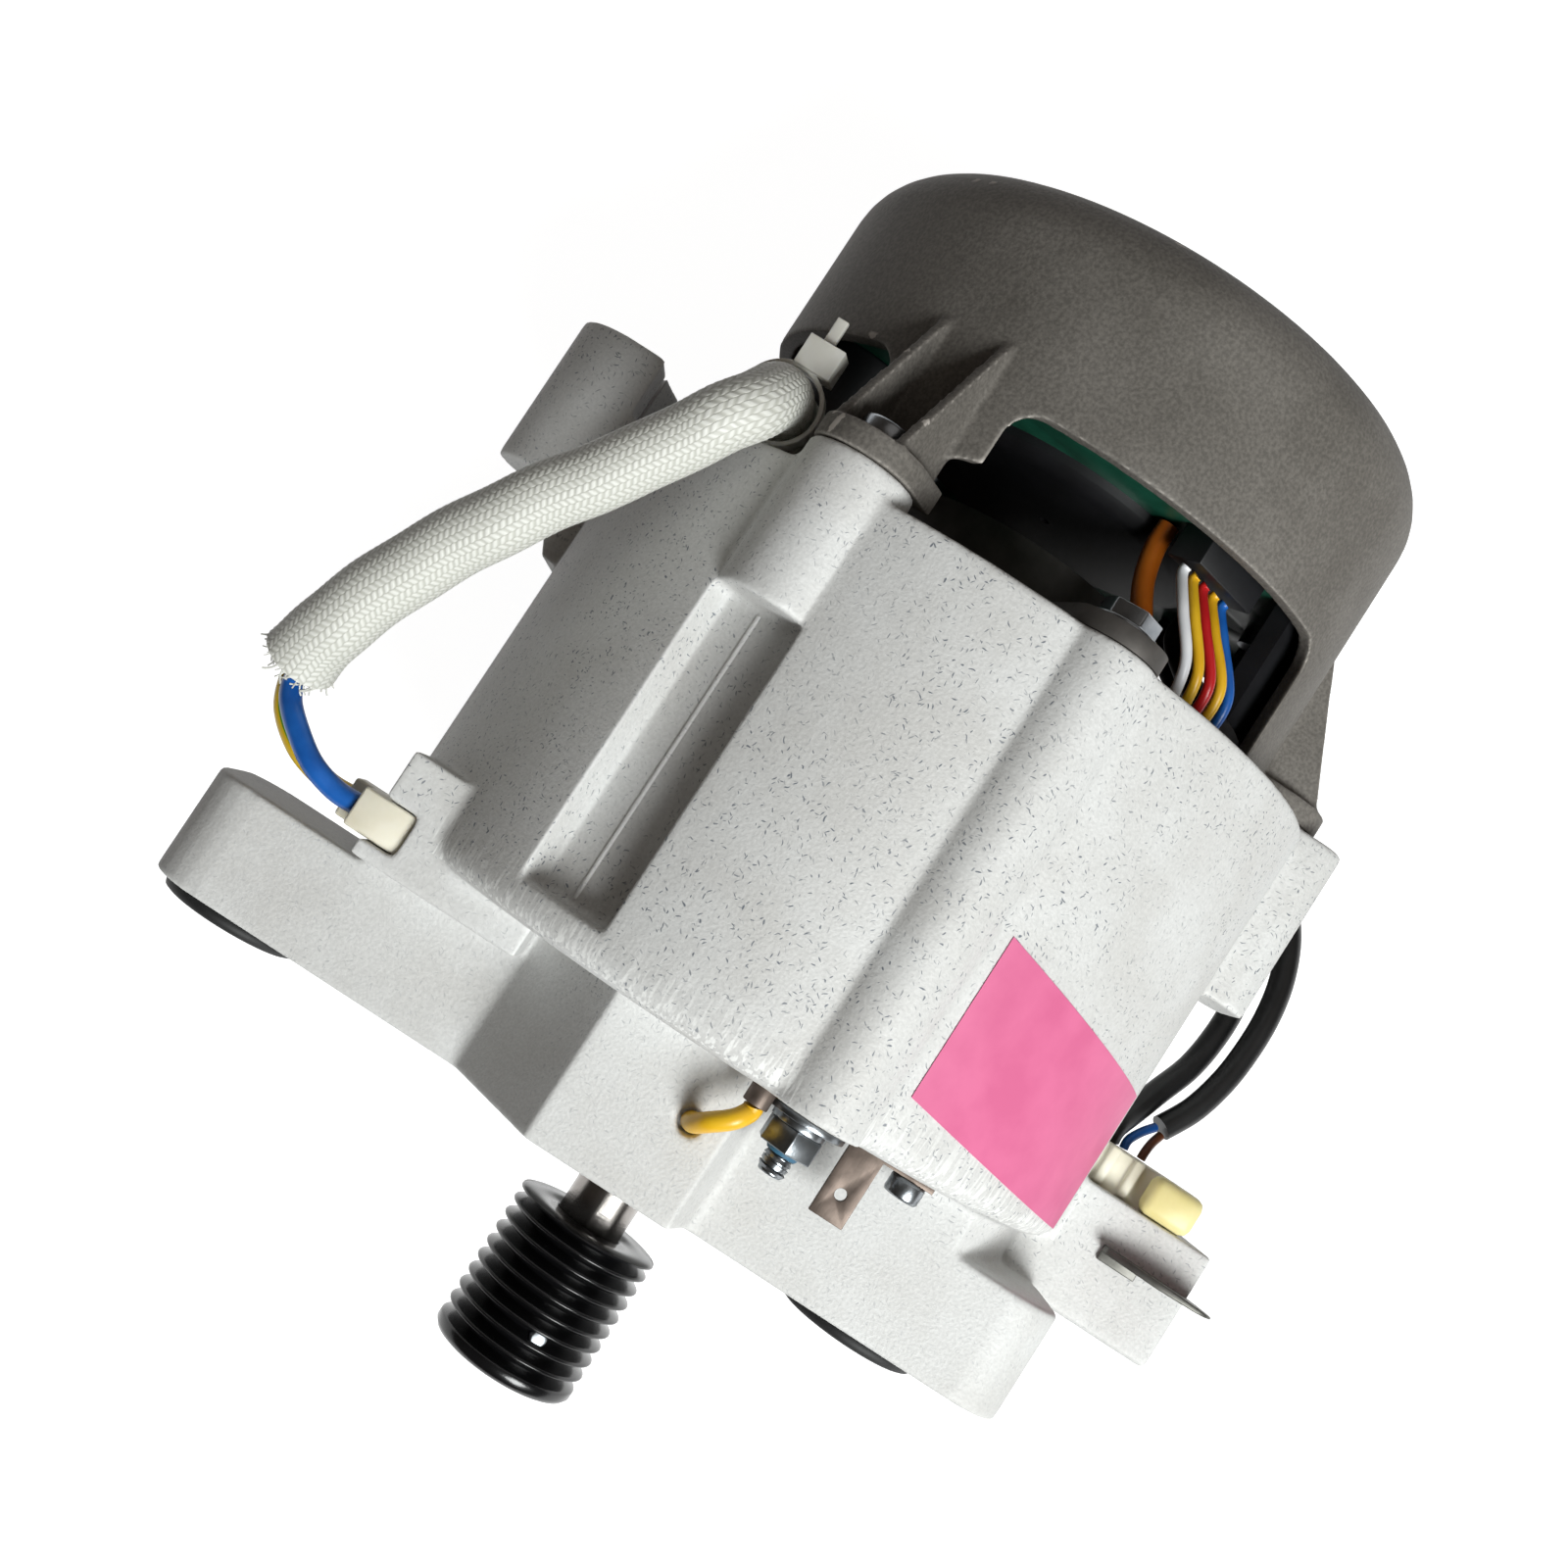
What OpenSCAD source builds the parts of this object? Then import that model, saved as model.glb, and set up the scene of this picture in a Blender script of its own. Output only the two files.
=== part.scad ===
// Brushless washing machine motor with a built-in driver.
// The shaft lies along X, with the pulley at the low end and the driver cover at the high end.
// Z points to the side with the cover window, and the origin is the middle of the belt pulley.

/* [Pulley] */
// Diameter over the ribs
pulley_d = 22.2; // [20:0.1:30]
// Distance from one groove to the next
rib_pitch = 2.34; // [2:0.02:3.6]
// Number of grooves
rib_count = 9; // [4:1:14]
// Depth of a groove
groove_h = 2.1; // [1:0.1:2.6]
// Width of the plain rim at the free end
pulley_rim = 2; // [1:0.1:8]
// Distance from the pulley to the mounting flange
pulley_gap = 11.8; // [8:0.1:30]
// Diameter of the cross pin
pin_d = 2.5; // [1.5:0.1:3.5]

/* [Shaft and bearings] */
// Shaft diameter in the pulley
nose_d = 10; // [8:0.1:11.5]
// Shaft diameter in the bearings
journal_d = 12; // [11:0.1:13]
// Outside diameter of a bearing
bearing_d = 32; // [30:0.1:36]
// Width of a bearing
bearing_w = 10; // [8.5:0.1:11]
// Diameter of a bearing ball
ball_d = 5.95; // [4.5:0.05:6]
// Balls in one bearing
ball_count = 7; // [5:1:7]

/* [Front housing] */
// Outside radius of the body
body_r = 55; // [50:0.1:62]
// Length of the body
body_len = 66; // [58:0.5:76]
// Thickness of the mounting flange
flange_t = 16; // [12:0.5:20]
// Distance from the flange face to the body
neck_len = 22; // [20.5:0.5:28]
// Thickness of the front wall of the body
front_wall = 7; // [5.5:0.5:8]
// Rounding of the front edge of the body
edge_r = 3; // [1:0.5:5]
// Angle of the first cover boss, from the window side
boss_angle = 27.6; // [24:0.2:30]
// Radius of a cover boss
boss_r = 7.5; // [6.5:0.1:8.5]
// Distance from the outside of the body to the middle of a cover boss
boss_inset = 4; // [3:0.1:4.5]
// Length of a cover boss
boss_len = 21; // [19:0.5:28]
// How far the cover bosses stand behind the body
boss_stand = 3; // [2:0.5:6]
// Radius of the half-round ribs that take the bracket screws
rib_r = 6.9; // [6:0.1:8]
// Depth of the cored channel in front of the first boss
channel_h = 5; // [2:0.5:6]
// Diameter of the hole in the rear lug
lug_bore = 8.4; // [6:0.1:10]

/* [Mounting bushes] */
// Diameter of the hole for a bush
bush_bore = 17; // [14:0.1:19]
// Diameter of the rubber collar
bush_collar_d = 20.5; // [19.2:0.1:23]
// How far the collar stands in front of the flange
bush_stand = 2; // [1.5:0.1:6]
// Outside diameter of the steel insert
insert_d = 12; // [10:0.1:13]
// Hole in the steel insert, tapped for an M8 bolt
insert_bore = 6.8; // [5:0.1:8]

/* [Rear cover] */
// How far the cup is set in from the outside of the body
cover_inset = 9; // [8.4:0.1:11]
// Thickness of the cup wall
cover_wall = 2.5; // [1.5:0.1:3]
// Distance from the body to the end of the cover
cover_len = 51.3; // [46:0.1:60]
// Rounding of the end of the cover
cover_round = 10; // [5:0.5:14]
// Length of a window, from the body
window_len = 20.6; // [16:0.2:23]
// Half the width of a window
window_half = 27; // [24:0.5:29]
// How far the near window is turned towards the first boss
window_turn = 11; // [0:0.5:14]
// Thickness of an ear
ear_t = 3.5; // [2.5:0.1:5]
// Length of a gusset rib
gusset_len = 20; // [12:0.5:24]

/* [Stator and rotor] */
// Thickness of the body wall round the stator stack
body_wall = 7.6; // [7:0.1:9]
// Depth of the stack, from its outside to its bore
stack_depth = 20.4; // [19.4:0.1:21]
// Length of the stack
stack_len = 34; // [26:0.5:36]
// Number of teeth
tooth_count = 12; // [9:3:12]
// Width of a tooth
tooth_w = 7; // [5.5:0.1:7.5]
// Air gap between the rotor and the stator
air_gap = 0.6; // [0.4:0.05:1]
// Number of magnets
pole_count = 8; // [4:2:8]

/* [Driver board] */
// Thickness of the board
board_t = 1.6; // [1:0.1:2.4]
// Distance from the body to the board
board_at = 24; // [23.5:0.5:27]
// Radius of the capacitors beside the upper window
cap_r = 6.5; // [5:0.1:7]

/* [Fasteners] */
// Diameter of the housing screws and of the earth stud
screw_d = 4; // [3:0.1:4.4]
// Width of a hexagon across its flats
hex_w = 7; // [6.4:0.1:8]
// Diameter of the round screw heads on the cover
pan_d = 7; // [6:0.1:7.4]

/* [Hidden] */
$fn = 64;

// Clearances
press = 0.02;
loose = 0.2;
slack = 0.3;
overrun = 1;

// Stations along the shaft
pulley_w = rib_count * rib_pitch + pulley_rim;
flange_x = pulley_w / 2 + pulley_gap;
body_x = flange_x + neck_len;
rim_x = body_x + body_len;
boss_x = rim_x + boss_stand;
cover_end = rim_x + cover_len;
cavity_x = body_x + front_wall;
bearing_lip = 4;
washer_t = 1.4;
front_bearing_x = flange_x + bearing_lip + washer_t;
bracket_t = 2.5;
hub_lip = 1.5;
rear_bearing_x = rim_x + 1.5;
hub_end = rear_bearing_x + bearing_w + hub_lip;
stack_end = rim_x - 10;
stack_x = stack_end - stack_len;
board_x = rim_x + board_at;
board_back = board_x + board_t;

// Body, rim and board stations of the drawn wire routes, and how wires and seats follow the body
drawn_at = [22, 88, 112];
grow = body_r / 55;
stretch = body_len / (drawn_at[1] - drawn_at[0]);
function station(x) = x <= drawn_at[0] ? flange_x + x * neck_len / drawn_at[0]
    : x <= drawn_at[1] ? body_x + (x - drawn_at[0]) * stretch
    : rim_x + (x - drawn_at[1]) * board_at / (drawn_at[2] - drawn_at[1]);
function placed(route, spread = grow) =
    [for (p = route) [station(p[0]), p[1] * spread, p[2] * spread]];

// Cross pin
pin_x = -pulley_w / 2 + pulley_rim + 2.5 * rib_pitch;
pin_angle = -14;

// Bearing radii
journal_r = journal_d / 2;
bearing_r = bearing_d / 2;
ball_r = ball_d / 2;
pitch_r = (journal_r + bearing_r) / 2;
race_gap = 0.05;
land = ball_r * 0.66;
inner_land = pitch_r - land;
outer_land = pitch_r + land;

// Radii that follow the body
stator_r = body_r - body_wall;
stator_bore = stator_r - stack_depth * grow;
boss_at = body_r - boss_inset;
cover_r = body_r - cover_inset;

// Three-fold places round the axis
thirds = [0, 120, 240];
window_turns = [window_turn, -13, 5];
rib_angle = boss_angle - 42.6;
rib_at = body_r - 4;
mid_angle = boss_angle - 60;
screw_r = screw_d / 2;
screw_hole = screw_r + 0.05;
screw_depth = 16;
cavity_r = stator_r + press;
channel_half = boss_r - 0.6;

// Flange outline, along Y and Z
arm_end = 75.5;
arm_near = 24;
arm_w = 26;
arm_corner = 8;
arm_bush = [arm_end - 11.1, arm_near - arm_w / 2];
hub_near = 40;
hub_top = 14;
hub_low = -7;
arm_root = 27;
foot_end = -57;
foot_near = 32;
foot_w = 28;
foot_top = -9.5;
foot_bush = [-35.7, foot_near - foot_w / 2];
hub_far = 41;
neck_r = body_r - 1;
bush_places = [arm_bush, foot_bush];
bush_r = bush_bore / 2;
bush_floor = 2;
bush_depth = flange_t - bush_floor;
insert_r = insert_d / 2;

// Rear lug, along Y and Z
lug_at = [body_r + 7.6, -5];
lug_r = 10;
lug_len = 23.5;
lug_back = rim_x + 9.5;
lug_front = lug_back - lug_len;
lug_slope = 10;
lug_step = 2.5;

// Block round the third boss, along Y and Z
side_len = 25;
side_end = -body_r - 7.5;
side_near = 6.5;
side_far = -11;
side_corner = 4;

// Terminal pedestal and block
pedestal_len = 10.4;
pedestal_top = body_r - 3;
pedestal_near = 34 * grow;
pedestal_far = 10 * grow;
pedestal_x = body_x - 5;
block_w = 5.6;
block_x = pedestal_x + 2.5;
block_floor = 47 * grow;
block_top = 55 * grow;
block_near = 33 * grow;
block_far = 23 * grow;
earth_cell = 28 * grow;
earth_cell_top = 57.5 * grow;

// Connector box below the body
box_x = body_x - 7.8;
box_back = body_x + 10.3 * stretch;
box_end = -75.7 * grow;
box_root = -45;
box_near = 8 * grow;
box_far = -14 * grow;
plug_depth = 11;
plug_out = 6 * stretch;
plug_y = [-71, -55] * grow;
plug_z = [-10, 4] * grow;
plug_ribs = 4;

// Earth stud and tab on the front face of the body
stud_at = [-13.5, 41];
stud_out = 9.3;
stud_in = 5;
terminal_t = 0.8;
flat_washer_r = 5.8;
flat_washer_t = 0.9;
spring_washer_t = 1;
nut_t = 3.2;
nut_x = body_x - terminal_t - flat_washer_t - spring_washer_t - nut_t;
tab_at = [-22.5, 39];
tab_w = 4.8;
tab_t = 0.8;
tab_len = 9.6;
tab_screw_at = [-29, 38];
small_screw_r = 1.4;
small_head_r = 2.4;
small_head_h = 2.6;

// Winding sizes
yoke_in = stator_r - 8 * grow;
tooth = tooth_w * grow;
shoe_h = 2.6 * grow;
shoe_gap = 2.4;
rotor_r = stator_bore - air_gap;
insulator_t = 0.6;
coil_side = 3.2 * grow;
coil_end = 5.5;
coil_in = stator_bore + shoe_h + 0.9;
coil_out = yoke_in - 0.8;
magnet_t = 3;
magnet_inset = 6;

// Board sizes
cover_in = cover_r - cover_wall;
board_r = cover_in - 1;
post_at = board_r - 6;
post_r = 3.5;
board_screw_r = 1.5;
cap_len = 13;
cap_angles = [76, 102];
bulk_angles = [170, 210];
bulk_r = 9;
bulk_gap = 4.2;
bulk_len = cover_len - cover_wall - board_at - board_t - bulk_gap;

// Wire routes, measured from the flange face in round millimetres
sleeve_d = 9.8;
sleeve_route = [[34, 72, 28], [37.5, 71, 30], [41, 69.5, 32], [46, 67.5, 34], [51.5, 64.5, 36],
    [57, 61.5, 38], [62, 58, 40], [67.5, 54.5, 41.5], [72.5, 50.5, 43], [77.5, 47, 44.5],
    [82.5, 43.5, 46], [86.5, 41, 47.2], [90, 38.8, 46], [93.7, 37.8, 40.6], [94, 36.8, 33.6],
    [94, 34.6, 27.4], [94, 31.5, 22]];
lead_d = 3;
blue_lead_route = [[22.3, 55.2, 30.5], [22.3, 58.5, 30.5], [23.6, 62.8, 30.8], [26.2, 67, 29.8],
    [28.6, 70, 28.4], [30.8, 71.2, 27.7], [32.9, 70.6, 28.9]];
earth_lead_route = [[22.3, 57.6, 25.5], [22.3, 61, 25.5], [23.8, 66.5, 25], [27.3, 71.2, 24],
    [32, 72.7, 25], [34.6, 72, 26.5]];
cable_d = 3.9;
cable_routes = [[[44, -64, -8], [49, -67, -9.5], [55, -69, -11], [61, -70, -12.5],
    [67, -70.3, -14], [73, -69.8, -16], [79, -68, -18], [84, -65, -20], [89, -60.5, -22],
    [94, -53.5, -22.5], [99, -45, -22], [102.5, -38, -21], [106.5, -31, -18.5],
    [109, -28, -17.5], [111.6, -28, -17.5]],
    [[38.5, -57, -4], [40.5, -57, -4], [44, -59, -7], [48.5, -61.3, -10], [54, -64, -13],
    [60, -65.5, -15.5], [66, -66, -17.7], [73, -65.5, -20.5], [80, -63.5, -23],
    [87, -59, -25.5], [93.5, -52, -27], [98.5, -44, -26.5], [102.5, -37, -26],
    [106.5, -30, -24.5], [109, -27, -23.5], [111.6, -27, -23.5]]];
core_d = 1.4;
core_routes = [[[38.5, -60, -4.5], [40, -60, -4.5], [42, -61.4, -5.9], [43.6, -63, -7.2]],
    [[38.5, -63.5, -6.5], [40, -63.5, -6.5], [41.5, -63.9, -7.3], [43, -64.6, -8.2]]];
earth_wire_d = 2.6;
earth_wire_route = [[19.1, -7.2, 45.2], [18.2, -7.2, 45.2], [16.5, -6, 46], [14.5, -3.8, 45],
    [13.1, -2.5, 42], [12.7, -2.2, 38.5]];
signal_d = 1.5;
white_route = [[88.6, -25, 33], [90, -25, 33.2], [95, -23.5, 35.5], [100.5, -20, 34.2],
    [105, -17.7, 31.6], [106.4, -17.6, 31.5]];
yellow_routes = [[[88.6, -27, 31.5], [90, -27, 31.7], [95, -25.8, 34], [101, -21.9, 32.6],
    [105.2, -19.6, 30.2], [106.4, -19.6, 30.2]],
    [[88.6, -30.6, 28.4], [90, -30.6, 28.6], [95.5, -29.9, 30.8], [101.5, -25.7, 29.2],
    [105.2, -23.4, 27.4], [106.4, -23.4, 27.4]]];
red_route = [[88.6, -28.8, 30], [90, -28.8, 30.2], [95, -28, 32.6], [101, -24, 31],
    [105.2, -21.5, 28.8], [106.4, -21.5, 28.8]];
blue_route = [[88.6, -32.4, 26.7], [90, -32.4, 26.9], [95.5, -31.8, 28.4], [101.5, -27.7, 27.2],
    [105.2, -25.2, 26], [106.4, -25.2, 26]];
orange_d = 3;
orange_route = [[86.4, -19.4, 35], [89, -19.4, 35], [93, -18.5, 33], [98, -16.5, 29],
    [103, -14.5, 26], [108, -13.5, 24.5], [111.6, -13.5, 24.5]];

// Places a shape drawn across Y and Z, with its depth along X
module axial(x = 0) {
    translate([x, 0, 0]) rotate([90, 0, 90]) children();
}

// Turns a profile of radius and length round the shaft axis
module turned(x = 0) {
    translate([x, 0, 0]) rotate([0, 90, 0]) rotate_extrude() children();
}

// Turns a shape from the window side towards Y
module at_angle(angle) {
    rotate([-angle, 0, 0]) children();
}

// Repeats an outline in Y and Z at three angles from the window side towards Y
module three_round(angle) {
    for (t = thirds) rotate(-angle - t) children();
}

// Rod along X at a radius on the window side
module rod(x, length, radius, away = 0) {
    translate([x, 0, away]) rotate([0, 90, 0]) cylinder(r = radius, h = length);
}

// Rod along X at a place in Y and Z
module rod_at(x, length, radius, place) {
    translate([x, place[0], place[1]]) rotate([0, 90, 0]) cylinder(r = radius, h = length);
}

// Hexagonal prism along X at a place in Y and Z
module hex_at(x, length, flats, place) {
    translate([x, place[0], place[1]]) rotate([0, 90, 0])
        cylinder(r = flats / sqrt(3), h = length, $fn = 6);
}

// Box between two corners
module span(low, high) {
    translate(low) cube(high - low);
}

// Rectangle with round corners, centred
module round_rect(w, h, r) {
    square([w - 2 * r, h], center = true);
    square([w, h - 2 * r], center = true);
    for (x = [-1, 1], y = [-1, 1]) translate([x * (w / 2 - r), y * (h / 2 - r)]) circle(r = r);
}

// Ring profile between two radii
module ring_profile(inner, outer, length, start = 0) {
    translate([inner, start]) square([outer - inner, length]);
}

// Points of a quarter arc from one angle to another
function arc(centre, r, from, to, steps = 6) =
    [for (i = [0:steps]) let (a = from + (to - from) * i / steps) centre + r * [cos(a), sin(a)]];

// Sweep of a round tube along a route
function unit(v) = v / norm(v);
function heading(p, i) = unit(p[min(i + 1, len(p) - 1)] - p[max(i - 1, 0)]);
function square_to(v, t) = unit(v - (v * t) * t);
function side_of(p, i) = i == 0 ? square_to([0.3, 0.5, 0.8], heading(p, 0))
    : square_to(side_of(p, i - 1), heading(p, i));
function tube_ring(p, i, r, sides) = let (t = heading(p, i), n = side_of(p, i), b = cross(t, n))
    [for (k = [0:sides - 1]) p[i] + r * (cos(360 * k / sides) * n + sin(360 * k / sides) * b)];
function tube_points(p, r, sides) = [for (i = [0:len(p) - 1]) each tube_ring(p, i, r, sides)];
function tube_walls(rings, sides) = [for (i = [0:rings - 2], k = [0:sides - 1])
    let (a = i * sides + k, b = i * sides + (k + 1) % sides)
    each [[a, a + sides, b], [b, a + sides, b + sides]]];
function tube_ends(rings, sides) = [[for (k = [0:sides - 1]) k],
    [for (k = [0:sides - 1]) rings * sides - 1 - k]];

module tube(route, d, sides = 8, spread = grow) {
    polyhedron(tube_points(placed(route, spread), d / 2, sides),
        concat(tube_walls(len(route), sides), tube_ends(len(route), sides)));
}

// Flange with the upper arm, the hub and the lower foot
module flange_outline() {
    arm_far = arm_near - arm_w;
    foot_far = foot_near - foot_w;
    polygon(concat(
        [[hub_low, hub_near], [hub_top, hub_near], [arm_root, arm_near]],
        arc([arm_end - arm_corner, arm_near - arm_corner], arm_corner, 90, 0),
        arc([arm_end - arm_corner, arm_far + arm_corner], arm_corner, 0, -90),
        [[arm_root + 16, arm_far]],
        arc([0, 0], hub_far, -55, -125, 10),
        [[foot_end + arm_corner, foot_far]],
        arc([foot_end + arm_corner, foot_far + arm_corner], arm_corner, 270, 180),
        arc([foot_end + arm_corner, foot_near - arm_corner], arm_corner, 180, 90),
        [[foot_top, foot_near]]));
}

module body_shape() {
    turned(body_x) polygon(concat([[0, 0]],
        arc([body_r - edge_r, edge_r], edge_r, -90, 0),
        [[body_r, body_len], [0, body_len]]));
}

module rear_lug() {
    difference() {
        union() {
            rod_at(lug_front, lug_len, lug_r, lug_at);
            translate([0, 0, lug_at[1] - lug_r]) linear_extrude(2 * lug_r)
                polygon([[lug_front - lug_slope, body_r / 2], [lug_back, body_r / 2],
                    [lug_back, lug_at[0]], [lug_front, lug_at[0]],
                    [lug_front - lug_slope, body_r + lug_step]]);
        }
        rod(rim_x, lug_len, rib_at + rib_r + slack);
    }
}

// Block with round outer corners, in Y and Z
module side_outline() {
    polygon(concat([[-body_r / 2, side_far], [-body_r / 2, side_near]],
        arc([side_end + side_corner, side_near - side_corner], side_corner, 90, 180),
        arc([side_end + side_corner, side_far + side_corner], side_corner, 180, 270)));
}

module front_housing() {
    color([0.82, 0.82, 0.80]) difference() {
        union() {
            axial(flange_x) linear_extrude(flange_t) flange_outline();
            axial(flange_x) linear_extrude(neck_len + edge_r) intersection() {
                flange_outline();
                circle(r = neck_r - edge_r);
            }
            body_shape();
            axial(body_x) linear_extrude(body_len) three_round(rib_angle)
                translate([0, rib_at]) circle(r = rib_r);
            for (t = thirds) at_angle(boss_angle + t) rod(boss_x - boss_len, boss_len, boss_r, boss_at);
            rear_lug();
            axial(rim_x - side_len) linear_extrude(side_len + boss_stand - 0.5) side_outline();
            span([pedestal_x, body_r / 2, pedestal_far],
                [pedestal_x + pedestal_len + 5, pedestal_top, pedestal_near]);
            span([box_x, box_end, box_far], [box_back, box_root, box_near]);
        }
        // stator bore, bearing seat and shaft hole
        rod(cavity_x, cover_len + body_len, cavity_r);
        rod(flange_x + bearing_lip, neck_len + front_wall, bearing_r + press);
        rod(flange_x - overrun, bearing_lip + 2 * overrun, journal_r + 2);
        // bush holes
        for (p = bush_places) rod_at(flange_x - overrun, bush_depth + overrun, bush_r, p);
        // rear lug hole
        rod_at(lug_front - overrun, lug_len + 2 * overrun, lug_bore / 2, lug_at);
        // channel in front of the first boss
        at_angle(boss_angle) span([body_x + 5, -channel_half, body_r - channel_h],
            [boss_x - boss_len, channel_half, body_r + overrun]);
        // screw holes
        for (t = thirds) at_angle(rib_angle + t)
            rod(rim_x - screw_depth - overrun, screw_depth + 2 * overrun, screw_hole, rib_at);
        for (t = thirds) at_angle(boss_angle + t)
            rod(boss_x - screw_depth - overrun, screw_depth + 2 * overrun, screw_hole, boss_at);
        rod_at(body_x - overrun, stud_in + overrun, screw_hole, stud_at);
        rod_at(body_x - overrun, stud_in + overrun, small_screw_r + 0.05, tab_screw_at);
        // hole for the earth wire
        translate([station(12.7), -2.2, hub_near - 3]) cylinder(d = earth_wire_d + 1, h = 5);
        // pocket for the terminal block
        span([block_x - loose, block_floor, block_far - loose],
            [block_x + block_w + loose, block_top + overrun, block_near + overrun]);
        // pocket for the lower connector
        span([box_back - plug_depth - loose, plug_y[0] - loose, plug_z[0] - loose],
            [box_back + overrun, plug_y[1] + loose, plug_z[1] + loose]);
    }
}

// Outline of one cover window, along X and across, with its shoulder beside a boss
module window_outline() {
    shoulder = 4.2;
    step = window_len - 9;
    start = -6;
    corner = 4;
    translate([(window_len + start) / 2, 0]) round_rect(window_len - start, 2 * window_half, corner);
    translate([(step + start) / 2, shoulder / 2])
        round_rect(step - start, 2 * window_half + shoulder, corner);
}

module cover_ear() {
    translate([0, boss_at]) circle(r = boss_r);
    translate([-boss_r, cover_in + 0.5]) square([2 * boss_r, boss_at - cover_in - 0.5]);
}

module rear_cover() {
    cup_x = rim_x + 0.5;
    cup_len = cover_len - 0.5;
    end_t = 3;
    inner_round = cover_round - cover_wall;
    color([0.42, 0.40, 0.38]) difference() {
        union() {
            difference() {
                turned(cup_x) polygon(concat([[0, 0], [cover_r, 0]],
                    arc([cover_r - cover_round, cup_len - cover_round], cover_round, 0, 90, 8),
                    [[0, cup_len]]));
                turned(cup_x) polygon(concat([[0, -overrun], [cover_in, -overrun]],
                    arc([cover_in - inner_round, cup_len - end_t - inner_round], inner_round, 0, 90, 8),
                    [[0, cup_len - end_t]]));
                for (i = [0:2]) at_angle(mid_angle + thirds[i] + window_turns[i])
                    translate([rim_x, 0, cover_r / 2]) linear_extrude(cover_r) window_outline();
            }
            for (t = thirds) at_angle(boss_angle + t) {
                axial(boss_x) linear_extrude(ear_t) cover_ear();
                for (side = [-1, 1]) gusset(side);
            }
            for (t = thirds) at_angle(boss_angle + t)
                rod(board_back, cover_end - end_t - board_back + overrun, post_r, post_at);
        }
        for (t = thirds) at_angle(boss_angle + t) {
            rod(boss_x - overrun, ear_t + 2 * overrun, screw_r + loose, boss_at);
            rod(board_back - overrun, 9, board_screw_r + 0.05, post_at);
        }
    }
}

// Triangular rib from an ear down to the cup
module gusset(side) {
    gusset_t = 1.5;
    translate([0, side * (pan_d / 2 + 0.5) + (side < 0 ? 0 : gusset_t), 0]) rotate([90, 0, 0])
        linear_extrude(gusset_t) polygon([[boss_x + ear_t / 2, cover_r - 2],
            [boss_x + ear_t / 2, boss_at + boss_r - 3], [boss_x + ear_t, boss_at + boss_r - 3],
            [boss_x + ear_t + gusset_len, cover_r], [boss_x + ear_t + gusset_len, cover_r - 2]]);
}

module rear_bearing_bracket() {
    hub_wall = 3;
    arm_half = rib_r - 0.4;
    color([0.62, 0.62, 0.61]) difference() {
        union() {
            rod(rim_x, hub_end - rim_x, bearing_r + hub_wall);
            axial(rim_x) linear_extrude(bracket_t) three_round(rib_angle) {
                translate([-arm_half, 0]) square([2 * arm_half, rib_at]);
                translate([0, rib_at]) circle(r = arm_half);
            }
        }
        rod(rim_x - overrun, hub_end - hub_lip - rim_x + overrun, bearing_r + press);
        rod(rim_x, hub_end - rim_x + overrun, bearing_r - 4);
        for (t = thirds) at_angle(rib_angle + t)
            rod(rim_x - overrun, bracket_t + 2 * overrun, screw_r + loose, rib_at);
    }
}

module cover_screws() {
    color([0.70, 0.70, 0.70]) for (t = thirds) at_angle(boss_angle + t) {
        rod(boss_x + ear_t, pan_d * 0.38, pan_d / 2 - 0.1, boss_at);
        rod(boss_x - screw_depth, screw_depth + ear_t + overrun, screw_r, boss_at);
    }
}

module bracket_screws() {
    seat = rim_x + bracket_t;
    color([0.72, 0.71, 0.68]) for (t = thirds) at_angle(rib_angle + t) {
        rod(seat, 0.8, hex_w * 0.66, rib_at);
        hex_at(seat, 3, hex_w, [0, rib_at]);
        rod(rim_x - screw_depth, screw_depth + bracket_t + overrun, screw_r, rib_at);
    }
}

module bush_rubbers() {
    color([0.08, 0.08, 0.08]) for (p = bush_places) difference() {
        union() {
            rod_at(flange_x - bush_stand, bush_stand, bush_collar_d / 2, p);
            rod_at(flange_x - bush_stand / 2, bush_stand / 2 + bush_depth, bush_r - press, p);
        }
        rod_at(flange_x - bush_stand - overrun, bush_depth + bush_stand + 2 * overrun, insert_r + press, p);
    }
}

module bush_inserts() {
    color([0.70, 0.70, 0.70]) for (p = bush_places) difference() {
        rod_at(flange_x - bush_stand, bush_stand + bush_depth, insert_r, p);
        rod_at(flange_x - bush_stand - overrun, bush_depth + bush_stand + 2 * overrun, insert_bore / 2, p);
    }
}

module shaft() {
    nose_r = nose_d / 2;
    nose_end = flange_x + 1;
    core_r = journal_r + 1.5;
    color([0.66, 0.65, 0.63]) difference() {
        union() {
            rod(-pulley_w / 2 + 0.5, nose_end + pulley_w / 2, nose_r);
            rod(nose_end, hub_end - nose_end, journal_r);
            rod(front_bearing_x + bearing_w, rear_bearing_x - front_bearing_x - bearing_w, core_r);
        }
        pin_rod(pin_d / 2 + press, pulley_d);
    }
}

// Cross pin through the pulley, in line with one groove
module pin_rod(r, reach) {
    at_angle(pin_angle) translate([pin_x, 0, -reach]) cylinder(r = r, h = 2 * reach);
}

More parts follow.
